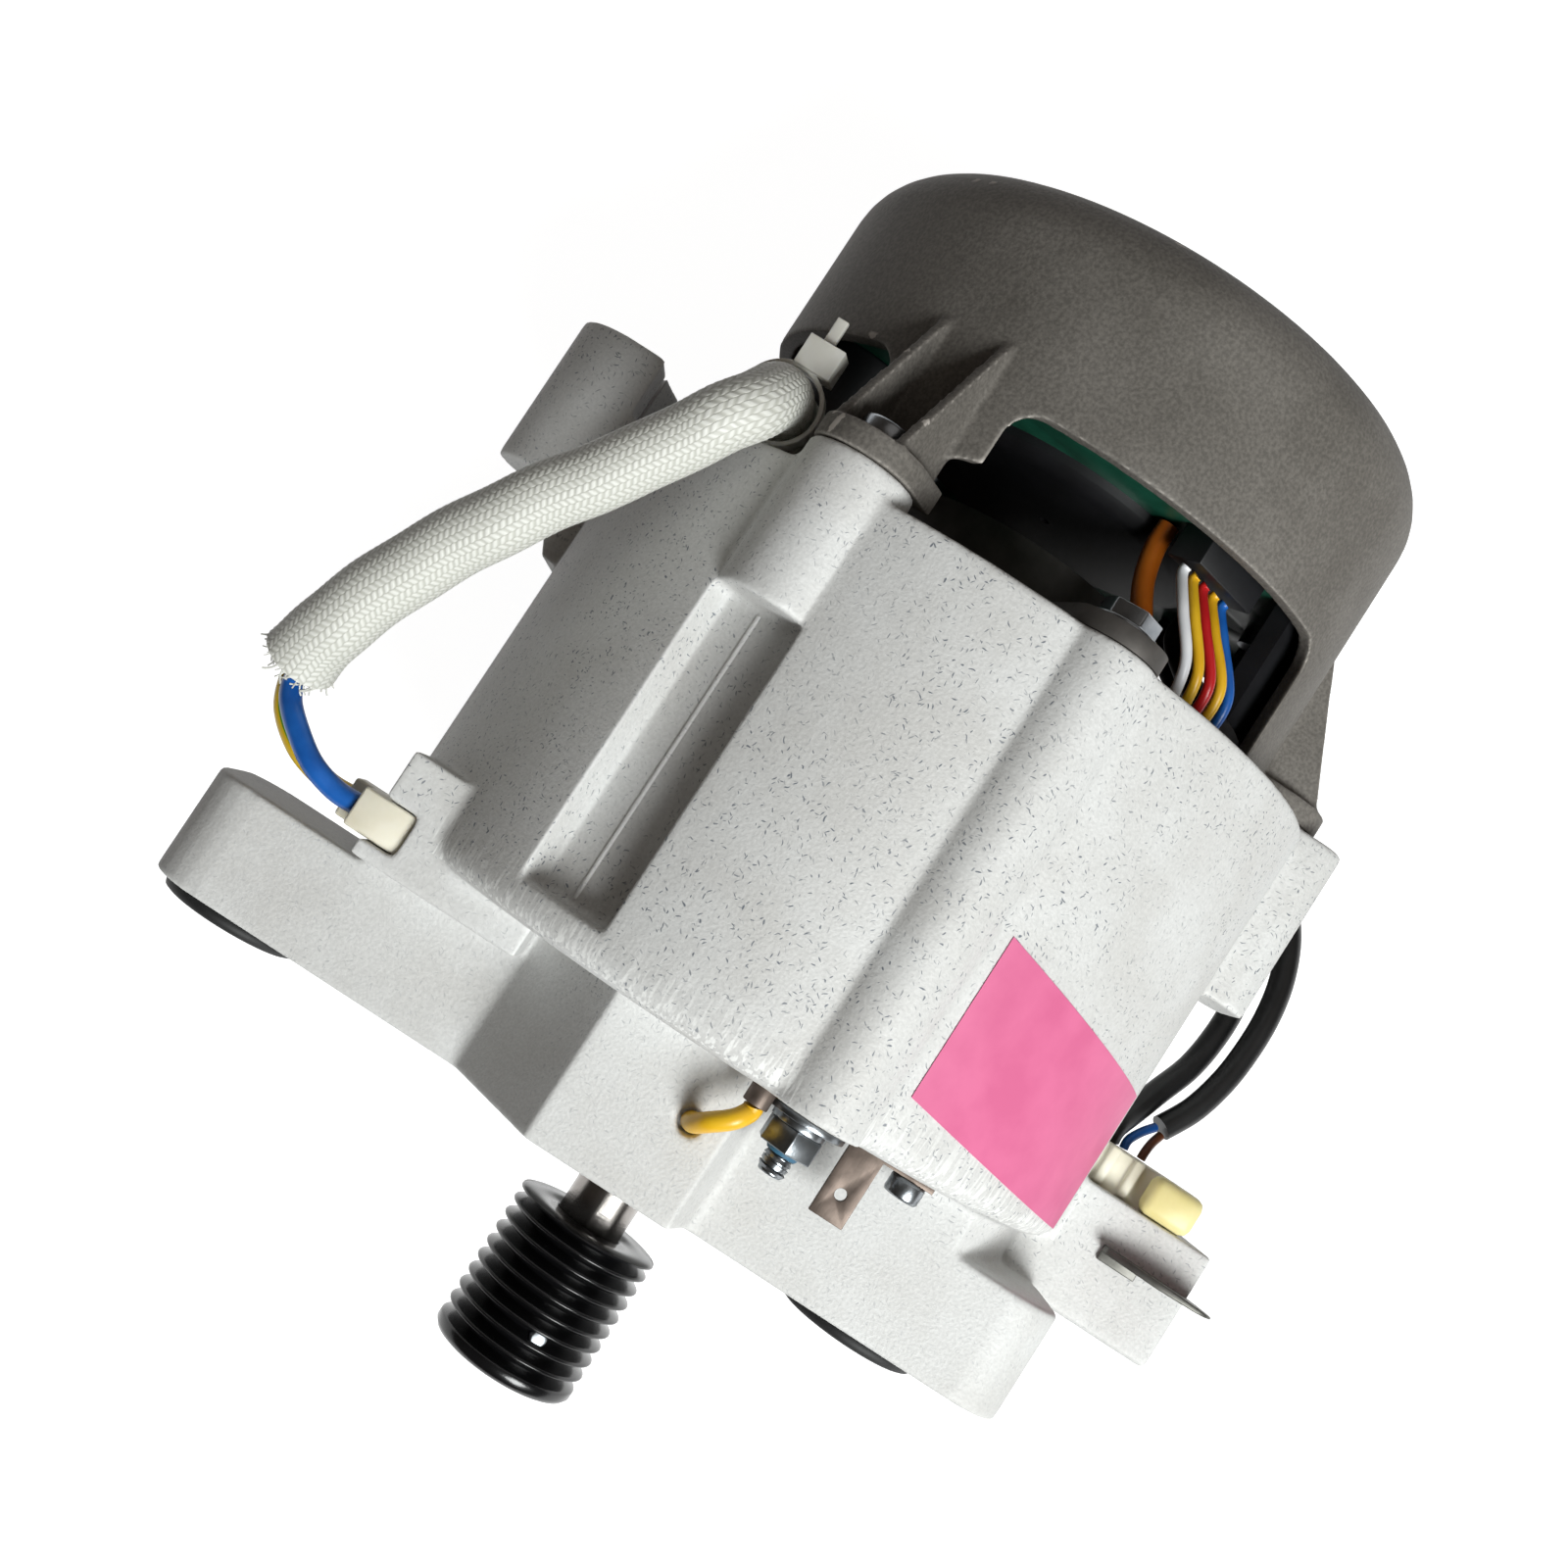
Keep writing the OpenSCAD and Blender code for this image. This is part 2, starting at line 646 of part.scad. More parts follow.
module pulley() {
    r = pulley_d / 2;
    crest = rib_pitch * 0.16;
    root = rib_pitch * 0.12;
    start = pulley_rim;
    color([0.06, 0.06, 0.07]) difference() {
        turned(-pulley_w / 2) polygon(concat(
            [[nose_d / 2 + press, 0], [r - 0.5, 0], [r, 0.5], [r, start]],
            [for (i = [0:rib_count - 1]) let (x = start + i * rib_pitch, m = x + rib_pitch / 2) each [
                [r, x + crest], [r - groove_h, m - root], [r - groove_h, m + root],
                [r, x + rib_pitch - crest]]],
            [[r, pulley_w], [nose_d / 2 + press, pulley_w]]));
        pin_rod(pin_d / 2 + press, pulley_d);
    }
}

module pulley_pin() {
    color([0.75, 0.75, 0.75]) pin_rod(pin_d / 2, pulley_d / 2 - 0.8);
}

module rotor_core() {
    hub = journal_r + 1.5 + press;
    color([0.50, 0.50, 0.52]) difference() {
        rod(stack_x, stack_len, rotor_r);
        rod(stack_x - overrun, stack_len + 2 * overrun, hub);
        for (i = [0:pole_count - 1]) at_angle(i * 360 / pole_count) magnet_block(0.05, overrun);
    }
}

// One flat magnet with room round it
module magnet_block(room, extra) {
    far = rotor_r - magnet_inset;
    half = far * tan(180 / pole_count) * 0.72;
    span([stack_x - extra, -half - room, far - magnet_t - room],
        [stack_end + extra, half + room, far + room]);
}

module rotor_magnets() {
    color([0.30, 0.30, 0.32]) for (i = [0:pole_count - 1]) at_angle(i * 360 / pole_count)
        magnet_block(0, -0.5);
}

module outer_race(x) {
    mid = bearing_w / 2;
    color([0.72, 0.73, 0.75]) turned(x) difference() {
        ring_profile(outer_land, bearing_r, bearing_w);
        translate([pitch_r, mid]) circle(r = ball_r + race_gap);
    }
}

module inner_race(x) {
    mid = bearing_w / 2;
    color([0.72, 0.73, 0.75]) turned(x) difference() {
        ring_profile(journal_r + press, inner_land, bearing_w);
        translate([pitch_r, mid]) circle(r = ball_r + race_gap);
    }
}

module ball_ring(x, r) {
    for (i = [0:ball_count - 1]) at_angle(i * 360 / ball_count)
        translate([x + bearing_w / 2, 0, pitch_r]) sphere(r = r);
}

module ball_cage(x) {
    half = land - slack;
    width = ball_d + 1.2;
    color([0.60, 0.45, 0.25]) difference() {
        turned(x + (bearing_w - width) / 2) ring_profile(pitch_r - half, pitch_r + half, width);
        ball_ring(x, ball_r + 0.1);
    }
}

module front_bearing_outer() { outer_race(front_bearing_x); }
module front_bearing_inner() { inner_race(front_bearing_x); }
module front_bearing_balls() { color([0.80, 0.80, 0.82]) ball_ring(front_bearing_x, ball_r); }
module front_bearing_cage() { ball_cage(front_bearing_x); }
module rear_bearing_outer() { outer_race(rear_bearing_x); }
module rear_bearing_inner() { inner_race(rear_bearing_x); }
module rear_bearing_balls() { color([0.80, 0.80, 0.82]) ball_ring(rear_bearing_x, ball_r); }
module rear_bearing_cage() { ball_cage(rear_bearing_x); }

module bearing_shields() {
    shield_t = 0.4;
    color([0.60, 0.61, 0.62]) for (x = [front_bearing_x, rear_bearing_x], e = [0.3, bearing_w - 0.7])
        turned(x + e) ring_profile(inner_land + slack, outer_land - press, shield_t);
}

module wave_washer() {
    color([0.55, 0.55, 0.52]) turned(flange_x + bearing_lip + 0.05)
        ring_profile(bearing_r - 3.5, bearing_r - 0.3, washer_t - 0.1);
}

module tooth_outline() {
    translate([-tooth / 2, stator_bore + 1]) square([tooth, yoke_in - stator_bore]);
    intersection() {
        difference() {
            circle(r = stator_bore + shoe_h);
            circle(r = stator_bore);
        }
        shoe = stator_bore * tan(180 / tooth_count) - shoe_gap / 2;
        translate([-shoe, 0]) square([2 * shoe, yoke_in]);
    }
}

module stator_core() {
    color([0.45, 0.46, 0.48]) axial(stack_x) linear_extrude(stack_len) {
        difference() {
            circle(r = stator_r);
            circle(r = yoke_in);
        }
        for (i = [0:tooth_count - 1]) rotate(i * 360 / tooth_count) tooth_outline();
    }
}

// End cap of one tooth, with a wall on each side of the coil
module insulator_tooth() {
    half = tooth / 2;
    wall_h = coil_end + 1;
    span([0, -half, coil_in - 0.9], [insulator_t, half, yoke_in + 1]);
    span([0, -half, coil_in - 1.6], [wall_h, half, coil_in - 0.2]);
}

module slot_insulators() {
    wall_h = coil_end + 2.4;
    color([0.86, 0.83, 0.72]) for (end = [0, 1]) translate([end == 0 ? stack_x : stack_end, 0, 0])
        mirror([end == 0 ? 1 : 0, 0, 0]) {
            turned() ring_profile(yoke_in, yoke_in + 2, wall_h);
            for (i = [0:tooth_count - 1]) at_angle(i * 360 / tooth_count) insulator_tooth();
        }
}

module stator_coils() {
    inner_w = tooth + 2 * insulator_t;
    inner_l = stack_len + 2 * insulator_t + 0.1;
    color([0.72, 0.40, 0.16]) for (i = [0:tooth_count - 1]) at_angle(i * 360 / tooth_count)
        translate([(stack_x + stack_end) / 2, 0, coil_in]) linear_extrude(coil_out - coil_in)
            difference() {
                round_rect(inner_l + 2 * coil_end, inner_w + 2 * coil_side, coil_side);
                square([inner_l, inner_w], center = true);
            }
}

// Sensor strip on the rear insulator, where the signal wires land
module hall_board() {
    seat = stack_end + coil_end + 2.4;
    half = 8.5;
    color([0.10, 0.35, 0.20]) intersection() {
        turned(seat + 0.1) ring_profile(yoke_in - 3, yoke_in + 4, rim_x - seat);
        at_angle(mid_angle - 11.6) span([seat, -half, 0], [rim_x - 0.1, half, body_r]);
    }
}

module driver_board() {
    color([0.07, 0.30, 0.18]) difference() {
        rod(board_x, board_t, board_r);
        for (t = thirds) at_angle(boss_angle + t)
            rod(board_x - overrun, board_t + 2 * overrun, board_screw_r + loose, post_at);
    }
}

module board_capacitors() {
    color([0.05, 0.05, 0.06]) {
        for (a = cap_angles) at_angle(a)
            rod(board_x - cap_len - press, cap_len, cap_r, cover_in - cap_r - 2.5);
        for (a = bulk_angles) at_angle(a) rod(board_back + press, bulk_len, bulk_r, cover_in - bulk_r - 6);
    }
}

module board_connector() {
    depth = 5;
    color([0.90, 0.90, 0.86]) at_angle(mid_angle - 6)
        span([board_x - depth, -6.5, board_r - 10.5], [board_x, 6.5, board_r - 4.5]);
}

module power_module() {
    half = 16;
    leg = 1.6;
    color([0.07, 0.07, 0.08]) {
        span([board_back, -half, -4], [board_back + 6, half, 18]);
        for (z = [-2:3.4:15]) span([board_back, -half - leg, z], [board_back + 3, half + leg, z + 1]);
    }
}

module board_screws() {
    head_r = 2.75;
    color([0.75, 0.75, 0.76]) for (t = thirds) at_angle(boss_angle + t) {
        rod(board_x - 2, 2, head_r, post_at);
        rod(board_x - overrun, board_t + 8, board_screw_r, post_at);
    }
}

module white_wire() { color("white") tube(white_route, signal_d); }
module yellow_wires() { color("gold") for (r = yellow_routes) tube(r, signal_d); }
module red_wire() { color("red") tube(red_route, signal_d); }
module blue_wire() { color("blue") tube(blue_route, signal_d); }
module orange_lead() { color("darkorange") tube(orange_route, orange_d); }

module terminal_block() {
    color([0.90, 0.87, 0.75]) {
        span([block_x, block_floor, block_far], [block_x + block_w, block_top, block_near]);
        span([block_x, block_floor, block_far], [block_x + block_w, earth_cell_top, earth_cell]);
    }
}

module blue_lead() { color("royalblue") tube(blue_lead_route, lead_d); }
module earth_lead() { color("yellowgreen") tube(earth_lead_route, lead_d); }
module braided_sleeve() { color([0.90, 0.89, 0.83]) tube(sleeve_route, sleeve_d, 12); }

// Tie round the sleeve where it enters the cover
module cable_tie() {
    ends = placed([sleeve_route[13], sleeve_route[14]]);
    hold = (ends[0] + ends[1]) / 2;
    up = unit(ends[0] - ends[1]);
    strap_w = 2.5;
    strap_r = sleeve_d / 2 + 0.15;
    turn = [-asin(up[1]), atan2(up[0], up[2]), 0];
    color([0.92, 0.92, 0.90]) translate(hold) rotate(turn) {
        difference() {
            translate([0, 0, -strap_w / 2]) cylinder(r = strap_r + 0.6, h = strap_w);
            translate([0, 0, -strap_w]) cylinder(r = strap_r, h = 2 * strap_w);
        }
        span([strap_r + 0.2, -4, -2.2], [strap_r + 4.4, 1.2, 2.2]);
        span([strap_r + 4.2, -1.8, -0.5], [strap_r + 8.2, -0.2, 0.5]);
    }
}

module cable_connector() {
    step = (plug_y[1] - plug_y[0]) / plug_ribs;
    color([0.88, 0.84, 0.72]) {
        span([box_back - plug_depth, plug_y[0], plug_z[0]], [box_back + plug_out, plug_y[1], plug_z[1]]);
        for (i = [0:plug_ribs - 1]) let (y = plug_y[0] + i * step)
            span([box_back + loose, y + 0.3 * step, plug_z[1] - overrun],
                [box_back + plug_out, y + 0.7 * step, plug_z[1] + 1]);
    }
}

module connector_cap() {
    low = plug_z[1] + 1.05;
    color([0.90, 0.85, 0.52])
        span([box_back + loose, plug_y[0], low], [box_back + plug_out, plug_y[0] + 8, low + 4]);
}

module box_clip() {
    blade_t = 1;
    tip = box_end - 3;
    color([0.75, 0.75, 0.73]) translate([box_x + 10.8, 0, 0]) {
        span([-4, box_end + 8, box_near], [blade_t, box_end + 14, box_near + 0.8]);
        rotate([90, 0, 90]) linear_extrude(blade_t) polygon(concat(
            [[box_end + 14, box_near], [box_end + 14, box_near + 3], [box_end + 6, box_near + 6]],
            arc([tip + 3, box_near + 3], 3, 90, 270),
            [[box_end + 8, box_near]]));
    }
}

module black_cables() { color([0.07, 0.07, 0.07]) for (r = cable_routes) tube(r, cable_d); }
module blue_core() { color("dodgerblue") tube(core_routes[0], core_d); }
module brown_core() { color("saddlebrown") tube(core_routes[1], core_d); }

module earth_stud() {
    color([0.80, 0.80, 0.80]) rod_at(body_x - stud_out, stud_out + stud_in - 0.5, screw_r, stud_at);
}

module earth_nut() {
    color([0.62, 0.62, 0.66]) difference() {
        hex_at(nut_x, nut_t, hex_w, stud_at);
        rod_at(nut_x - overrun, nut_t + 2 * overrun, screw_hole, stud_at);
    }
}

module earth_washers() {
    spring_x = nut_x + nut_t;
    color([0.75, 0.75, 0.76]) {
        difference() {
            rod_at(spring_x, spring_washer_t, hex_w / 2 + 0.3, stud_at);
            rod_at(spring_x - overrun, spring_washer_t + 2 * overrun, screw_hole, stud_at);
        }
        difference() {
            rod_at(spring_x + spring_washer_t + press, flat_washer_t - press, flat_washer_r, stud_at);
            rod_at(spring_x, spring_washer_t + flat_washer_t + overrun, screw_hole, stud_at);
        }
    }
}

module ring_terminal() {
    x = body_x - terminal_t;
    barrel = [-7.2, 45.2];
    barrel_r = 1.7;
    color([0.78, 0.78, 0.76]) difference() {
        union() {
            rod_at(x, terminal_t, hex_w / 2 + 1, stud_at);
            translate([x, stud_at[0], stud_at[1] - 0.5]) cube([terminal_t, barrel[0] - stud_at[0], 4]);
            rod_at(x - 2, 2 + terminal_t, barrel_r, barrel);
        }
        rod_at(x - overrun, terminal_t + 2 * overrun, screw_hole, stud_at);
    }
}

module earth_wire() { color("gold") tube(earth_wire_route, earth_wire_d, spread = 1); }

module earth_tab() {
    base_x = body_x - tab_t;
    color([0.72, 0.66, 0.58]) difference() {
        union() {
            translate([base_x - tab_len, tab_at[0] - tab_w / 2, tab_at[1]])
                cube([tab_len + tab_t, tab_w, tab_t]);
            span([base_x, tab_screw_at[0] - 3, tab_at[1] - 4],
                [body_x, tab_at[0] + tab_w / 2, tab_at[1] + tab_t]);
        }
        translate([base_x - tab_len + 3.6, tab_at[0], tab_at[1] - overrun]) cylinder(r = 0.8, h = 3);
        rod_at(base_x - overrun, tab_t + 2 * overrun, small_screw_r + loose, tab_screw_at);
    }
}

module tab_screw() {
    color([0.75, 0.75, 0.75]) {
        rod_at(body_x - tab_t - small_head_h, small_head_h, small_head_r, tab_screw_at);
        rod_at(body_x - tab_t - overrun, stud_in + tab_t, small_screw_r, tab_screw_at);
    }
}

// Blank paper label wrapped round the lower wall of the body
module rating_label() {
    paper = 0.15;
    left = [30.4, 24.5];
    right = [52.8, 45.5];
    top = -21.8 * grow;
    low = -52 * grow;
    color([0.95, 0.55, 0.70]) intersection() {
        difference() {
            rod(body_x, body_len, body_r + paper + press);
            rod(body_x - overrun, body_len + 2 * overrun, body_r + press);
        }
        linear_extrude(body_r + overrun)
            polygon([[station(left[0]), top], [station(right[0]), top],
                [station(right[1]), low], [station(left[1]), low]]);
    }
}

front_housing();
rear_cover();
rear_bearing_bracket();
cover_screws();
bracket_screws();
bush_rubbers();
bush_inserts();
shaft();
rotor_core();
rotor_magnets();
pulley();
pulley_pin();
front_bearing_outer();
front_bearing_inner();
front_bearing_balls();
front_bearing_cage();
rear_bearing_outer();
rear_bearing_inner();
rear_bearing_balls();
rear_bearing_cage();
bearing_shields();
wave_washer();
stator_core();
slot_insulators();
stator_coils();
hall_board();
driver_board();
board_capacitors();
board_connector();
power_module();
board_screws();
white_wire();
yellow_wires();
red_wire();
blue_wire();
orange_lead();
terminal_block();
blue_lead();
earth_lead();
braided_sleeve();
cable_tie();
cable_connector();
connector_cap();
box_clip();
black_cables();
blue_core();
brown_core();
earth_stud();
earth_nut();
earth_washers();
ring_terminal();
earth_wire();
earth_tab();
tab_screw();
rating_label();
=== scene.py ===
"""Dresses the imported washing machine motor: soft castings, turned parts, wiring and finishes.

Sizes are in metres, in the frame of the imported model: X along the shaft, Y towards the upper
arm and Z towards the side with the cover window.
"""

import math
from functools import partial

import bmesh
import bpy
from bpy.props import FloatProperty, FloatVectorProperty, IntProperty, PointerProperty
from mathutils import Matrix, Vector


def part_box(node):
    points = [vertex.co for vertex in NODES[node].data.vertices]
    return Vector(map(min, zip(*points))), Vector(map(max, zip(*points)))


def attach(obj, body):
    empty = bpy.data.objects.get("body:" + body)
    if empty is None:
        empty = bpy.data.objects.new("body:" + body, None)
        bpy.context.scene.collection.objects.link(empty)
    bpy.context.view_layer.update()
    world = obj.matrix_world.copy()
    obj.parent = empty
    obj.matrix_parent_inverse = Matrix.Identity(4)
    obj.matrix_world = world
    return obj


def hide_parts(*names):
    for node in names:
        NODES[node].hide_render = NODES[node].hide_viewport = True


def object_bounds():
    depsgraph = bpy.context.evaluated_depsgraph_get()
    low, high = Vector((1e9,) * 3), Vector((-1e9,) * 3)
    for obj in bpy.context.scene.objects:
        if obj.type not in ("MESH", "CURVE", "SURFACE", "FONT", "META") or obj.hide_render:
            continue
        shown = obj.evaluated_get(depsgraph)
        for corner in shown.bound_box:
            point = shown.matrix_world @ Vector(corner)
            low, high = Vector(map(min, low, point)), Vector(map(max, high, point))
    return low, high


bl_info = {
    "name": "Washing machine motor",
    "version": (1, 0, 0),
    "blender": (4, 5, 0),
    "location": "View3D > Sidebar > Motor",
    "description": "Builds the looks of a belt-drive motor round its packed solids",
    "category": "Object",
}

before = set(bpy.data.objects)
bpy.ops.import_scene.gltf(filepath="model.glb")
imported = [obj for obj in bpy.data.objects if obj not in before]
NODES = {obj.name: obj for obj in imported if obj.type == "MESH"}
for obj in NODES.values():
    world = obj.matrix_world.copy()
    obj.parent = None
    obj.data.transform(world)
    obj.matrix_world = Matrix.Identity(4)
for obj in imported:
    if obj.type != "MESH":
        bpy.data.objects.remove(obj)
CAD_BOX = [list(corner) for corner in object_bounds()]
MM = 0.001
HOUSING = "housing"
ROTOR = "rotor"

# Stations on the shaft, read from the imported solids
FLANGE_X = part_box("front_housing")[0].x
PULLEY_LOW, PULLEY_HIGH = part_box("pulley")

# Camera, from the vanishing of the shaft and of the body's edges in the photograph
CAMERA_PLACE = (0.06413, 0.0108, 0.275)
CAMERA_TARGET = (0.07923, 0.0108, 0.0)
CAMERA_UP = (0.8387, 0.5446, 0.0)

# Floor: its lift to white and the soft shade that stays under the motor; tint of the sky
FLOOR_LIFT = 0.96
FLOOR_SIZE = 4
FLOOR_GAP = 1 * MM
FLOOR_SHADE_CENTRE = (95 * MM, 0, 0)
FLOOR_SHADE_REACH = (80 * MM, 60 * MM, 1)
SKY_TINT = (1, 0.85, 0.72, 1)

# Lamps: size, tint and place from the camera's target as shares of right, up and back
LAMPS = {
    "key": (0.4, (0.97, 1.0, 0.99), (0.22, -0.52, 0.69)),
    "fill": (0.8, (1.0, 0.93, 0.87), (0.5, 0.3, 0.8)),
    "rim": (0.8, (1.0, 0.95, 0.9), (-0.4, 0.8, 0.15)),
}

# Most triangles of the two cast skins
HOUSING_FACES = 190000
COVER_FACES = 150000

# Parting line along the floor of the cored channel, in millimetres as the wire routes
CHANNEL_ANGLE = 27.6
CHANNEL_FLOOR = 50.0
CHANNEL_RUN = (28, 42, 56, 69)
PARTING_SHIFT = 1.5
PARTING_RADIUS = 0.3 * MM

# Spring clip on the connector box: its blade, its narrow foot and the stretch that thins
CLIP_BLADE = 1 * MM
CLIP_FOOT = 2.3 * MM
CLIP_TAPER = 5 * MM

# One belt groove: shares of the pitch and of the depth
GROOVE_SHAPE = (
    (0.0, 0.0), (0.07, 0.03), (0.15, 0.18), (0.42, 0.9), (0.5, 1.0), (0.58, 0.9), (0.85, 0.18),
    (0.93, 0.03))

# Windings
COIL_COUNT = 12
COIL_TURNS = 9
COIL_LAYERS = 3
COIL_WIRE_STEP = 0.9 * MM
COIL_CENTRE = 84.33 * MM
COIL_LENGTH = 45.4 * MM
COIL_WIDTH = 13.7 * MM
COIL_INNER = 30.95 * MM
COIL_CORNER = 3.4 * MM

# Earth stud: its thread, the share of its radius that is core, and its plain point
STUD_PITCH = 0.7 * MM
STUD_CORE = 0.84
STUD_POINT = 0.4 * MM

# Bead of thread lock: stations behind the nut's face and heights above the stud
BEAD_SHAPE = (
    (-0.7 * MM, -0.4 * MM), (-0.6 * MM, 0.05 * MM), (-0.2 * MM, 0.25 * MM), (0.1 * MM, 0.3 * MM),
    (0.1 * MM, -0.4 * MM))

# Black disc over the middle of the driver board, a painted shade where the board lies in shadow,
# with shares of its depth and radii
SHADE_DISC_DEPTH = 3 * MM
SHADE_DISC_SHAPE = (
    (0, 1 * MM), (1, 1 * MM), (1, 22 * MM), (0.8, 23.8 * MM), (0.4, 25 * MM), (0, 25 * MM))

# Black wall beside the cable window that keeps the view in dark, a painted shade, with angles about
# the shaft from Z towards Y
SHADE_WALL_DEPTH = 18 * MM
SHADE_WALL_RADII = (38.6 * MM, 41.6 * MM)
SHADE_WALL_TURNS = (-55, -110)

# Braid of the sleeve: rows round it, length, slant and relief of a yarn, and the frayed mouth
BRAID_ROWS = 30
BRAID_PITCH = 0.95 * MM
BRAID_SLANT = 0.5
BRAID_RELIEF = 0.04 * MM
MOUTH_DEPTH = 7 * MM
MOUTH_WALL = 0.86
MOUTH_FLARE = 0.35 * MM
MOUTH_REACH = 2.5 * MM
DRAW_IN = 0.6 * MM
DRAW_LENGTH = 55 * MM
LOOSE_YARNS = 72
YARN_RADIUS = 0.16 * MM
YARN_ROOT = 0.6 * MM

# Hair-like marks of the blasting grit: turns about Z, the cell that holds one mark and its bend
FLECK_TURNS = (8, 52, 97, 143)
FLECK_CELL = (2.3 * MM, 0.55 * MM, 1.25 * MM)
FLECK_BEND = (1.1 * MM,) * 3
FLECK_START = FLANGE_X + 15 * MM
FLECK_FULL = FLANGE_X + 26 * MM

# Short lines that the trimming tool left along the shaft, just behind the body's front edge
TRIM_BAND = (FLANGE_X + 22.5 * MM, FLANGE_X + 30 * MM)
TRIM_LINE = (5 * MM, 0.5 * MM, 0.5 * MM)
TRIM_RADIUS = 56 * MM


def linear(hex_colour):
    """Linear RGBA of an sRGB hex colour such as c8c6c2."""
    channels = [int(hex_colour[i:i + 2], 16) / 255 for i in (0, 2, 4)]
    return [c / 12.92 if c <= 0.04045 else ((c + 0.055) / 1.055) ** 2.4 for c in channels] + [1]


def add_node(tree, kind, inputs=None, links=None, **settings):
    """Adds a node with its settings, input values and links.

    A link comes from a socket, from the first socket of a node or from a list of these.
    """
    made = tree.nodes.new(kind)
    for name, value in settings.items():
        setattr(made, name, value)
    for socket, value in (inputs or {}).items():
        made.inputs[socket].default_value = value
    for socket, sources in (links or {}).items():
        for source in sources if isinstance(sources, list) else [sources]:
            if isinstance(source, bpy.types.Node):
                source = source.outputs[0]
            tree.links.new(source, made.inputs[socket])
    return made


def route(points):
    """Points in millimetres behind the flange face, as points in the frame in metres."""
    return [Vector((FLANGE_X + x * MM, y * MM, z * MM)) for x, y, z in points]


# Routes of the wires, from the same points as the solids
SLEEVE_ROUTE = route([
    (34, 72, 28), (37.5, 71, 30), (41, 69.5, 32), (46, 67.5, 34), (51.5, 64.5, 36), (57, 61.5, 38),
    (62, 58, 40), (67.5, 54.5, 41.5), (72.5, 50.5, 43), (77.5, 47, 44.5), (82.5, 43.5, 46),
    (86.5, 41, 47.2), (90, 38.8, 46), (93.7, 37.8, 40.6), (94, 36.8, 33.6), (94, 34.6, 27.4),
    (94, 31.5, 22)])
BLUE_LEAD_ROUTE = route([
    (22.3, 55.2, 30.5), (22.3, 58.5, 30.5), (23.6, 62.8, 30.8), (26.2, 67, 29.8), (28.6, 70, 28.4),
    (30.8, 71.2, 27.7), (32.9, 70.6, 28.9)])
EARTH_LEAD_ROUTE = route([
    (22.3, 57.6, 25.5), (22.3, 61, 25.5), (23.8, 66.5, 25), (27.3, 71.2, 24), (32, 72.7, 25),
    (34.6, 72, 26.5)])
CABLE_ROUTES = (
    route([
        (44, -64, -8), (49, -67, -9.5), (55, -69, -11), (61, -70, -12.5), (67, -70.3, -14),
        (73, -69.8, -16), (79, -68, -18), (84, -65, -20), (89, -60.5, -22), (94, -53.5, -22.5),
        (99, -45, -22), (102.5, -38, -21), (106.5, -31, -18.5), (109, -28, -17.5),
        (111.6, -28, -17.5)]),
    route([
        (38.5, -57, -4), (40.5, -57, -4), (44, -59, -7), (48.5, -61.3, -10), (54, -64, -13),
        (60, -65.5, -15.5), (66, -66, -17.7), (73, -65.5, -20.5), (80, -63.5, -23),
        (87, -59, -25.5), (93.5, -52, -27), (98.5, -44, -26.5), (102.5, -37, -26),
        (106.5, -30, -24.5), (109, -27, -23.5), (111.6, -27, -23.5)]),
)
CORE_ROUTES = {
    "blue_core": route([(38.5, -60, -4.5), (40, -60, -4.5), (42, -61.4, -5.9), (43.6, -63, -7.2)]),
    "brown_core": route([
        (38.5, -63.5, -6.5), (40, -63.5, -6.5), (41.5, -63.9, -7.3), (43, -64.6, -8.2)]),
}
EARTH_WIRE_ROUTE = route([
    (19.1, -7.2, 45.2), (18.2, -7.2, 45.2), (16.5, -6, 46), (14.5, -3.8, 45), (13.1, -2.5, 42),
    (12.7, -2.2, 38.5)])
SIGNAL_ROUTES = {
    "white_wire": [route([
        (88.6, -25, 33), (90, -25, 33.2), (95, -23.5, 35.5), (100.5, -20, 34.2),
        (105, -17.7, 31.6), (106.4, -17.6, 31.5)])],
    "yellow_wires": [
        route([
            (88.6, -27, 31.5), (90, -27, 31.7), (95, -25.8, 34), (101, -21.9, 32.6),
            (105.2, -19.6, 30.2), (106.4, -19.6, 30.2)]),
        route([
            (88.6, -30.6, 28.4), (90, -30.6, 28.6), (95.5, -29.9, 30.8), (101.5, -25.7, 29.2),
            (105.2, -23.4, 27.4), (106.4, -23.4, 27.4)])],
    "red_wire": [route([
        (88.6, -28.8, 30), (90, -28.8, 30.2), (95, -28, 32.6), (101, -24, 31),
        (105.2, -21.5, 28.8), (106.4, -21.5, 28.8)])],
    "blue_wire": [route([
        (88.6, -32.4, 26.7), (90, -32.4, 26.9), (95.5, -31.8, 28.4), (101.5, -27.7, 27.2),
        (105.2, -25.2, 26), (106.4, -25.2, 26)])],
}
ORANGE_ROUTE = route([
    (86.4, -19.4, 35), (89, -19.4, 35), (93, -18.5, 33), (98, -16.5, 29), (103, -14.5, 26),
    (108, -13.5, 24.5), (111.6, -13.5, 24.5)])


def smooth_path(points, step):
    """A smooth curve through the points, sampled about every step metres."""
    path = []
    last = len(points) - 1
    for i in range(last):
        p0, p1 = points[max(i - 1, 0)], points[i]
        p2, p3 = points[i + 1], points[min(i + 2, last)]
        count = max(2, round((p2 - p1).length / step))
        for k in range(count):
            t = k / count
            path.append(0.5 * (2 * p1 + (p2 - p0) * t + (2 * p0 - 5 * p1 + 4 * p2 - p3) * t ** 2
                               + (3 * p1 - p0 - 3 * p2 + p3) * t ** 3))
    return path + [points[-1].copy()]


def path_length(path):
    """Length of a path in metres."""
    return sum((b - a).length for a, b in zip(path, path[1:]))


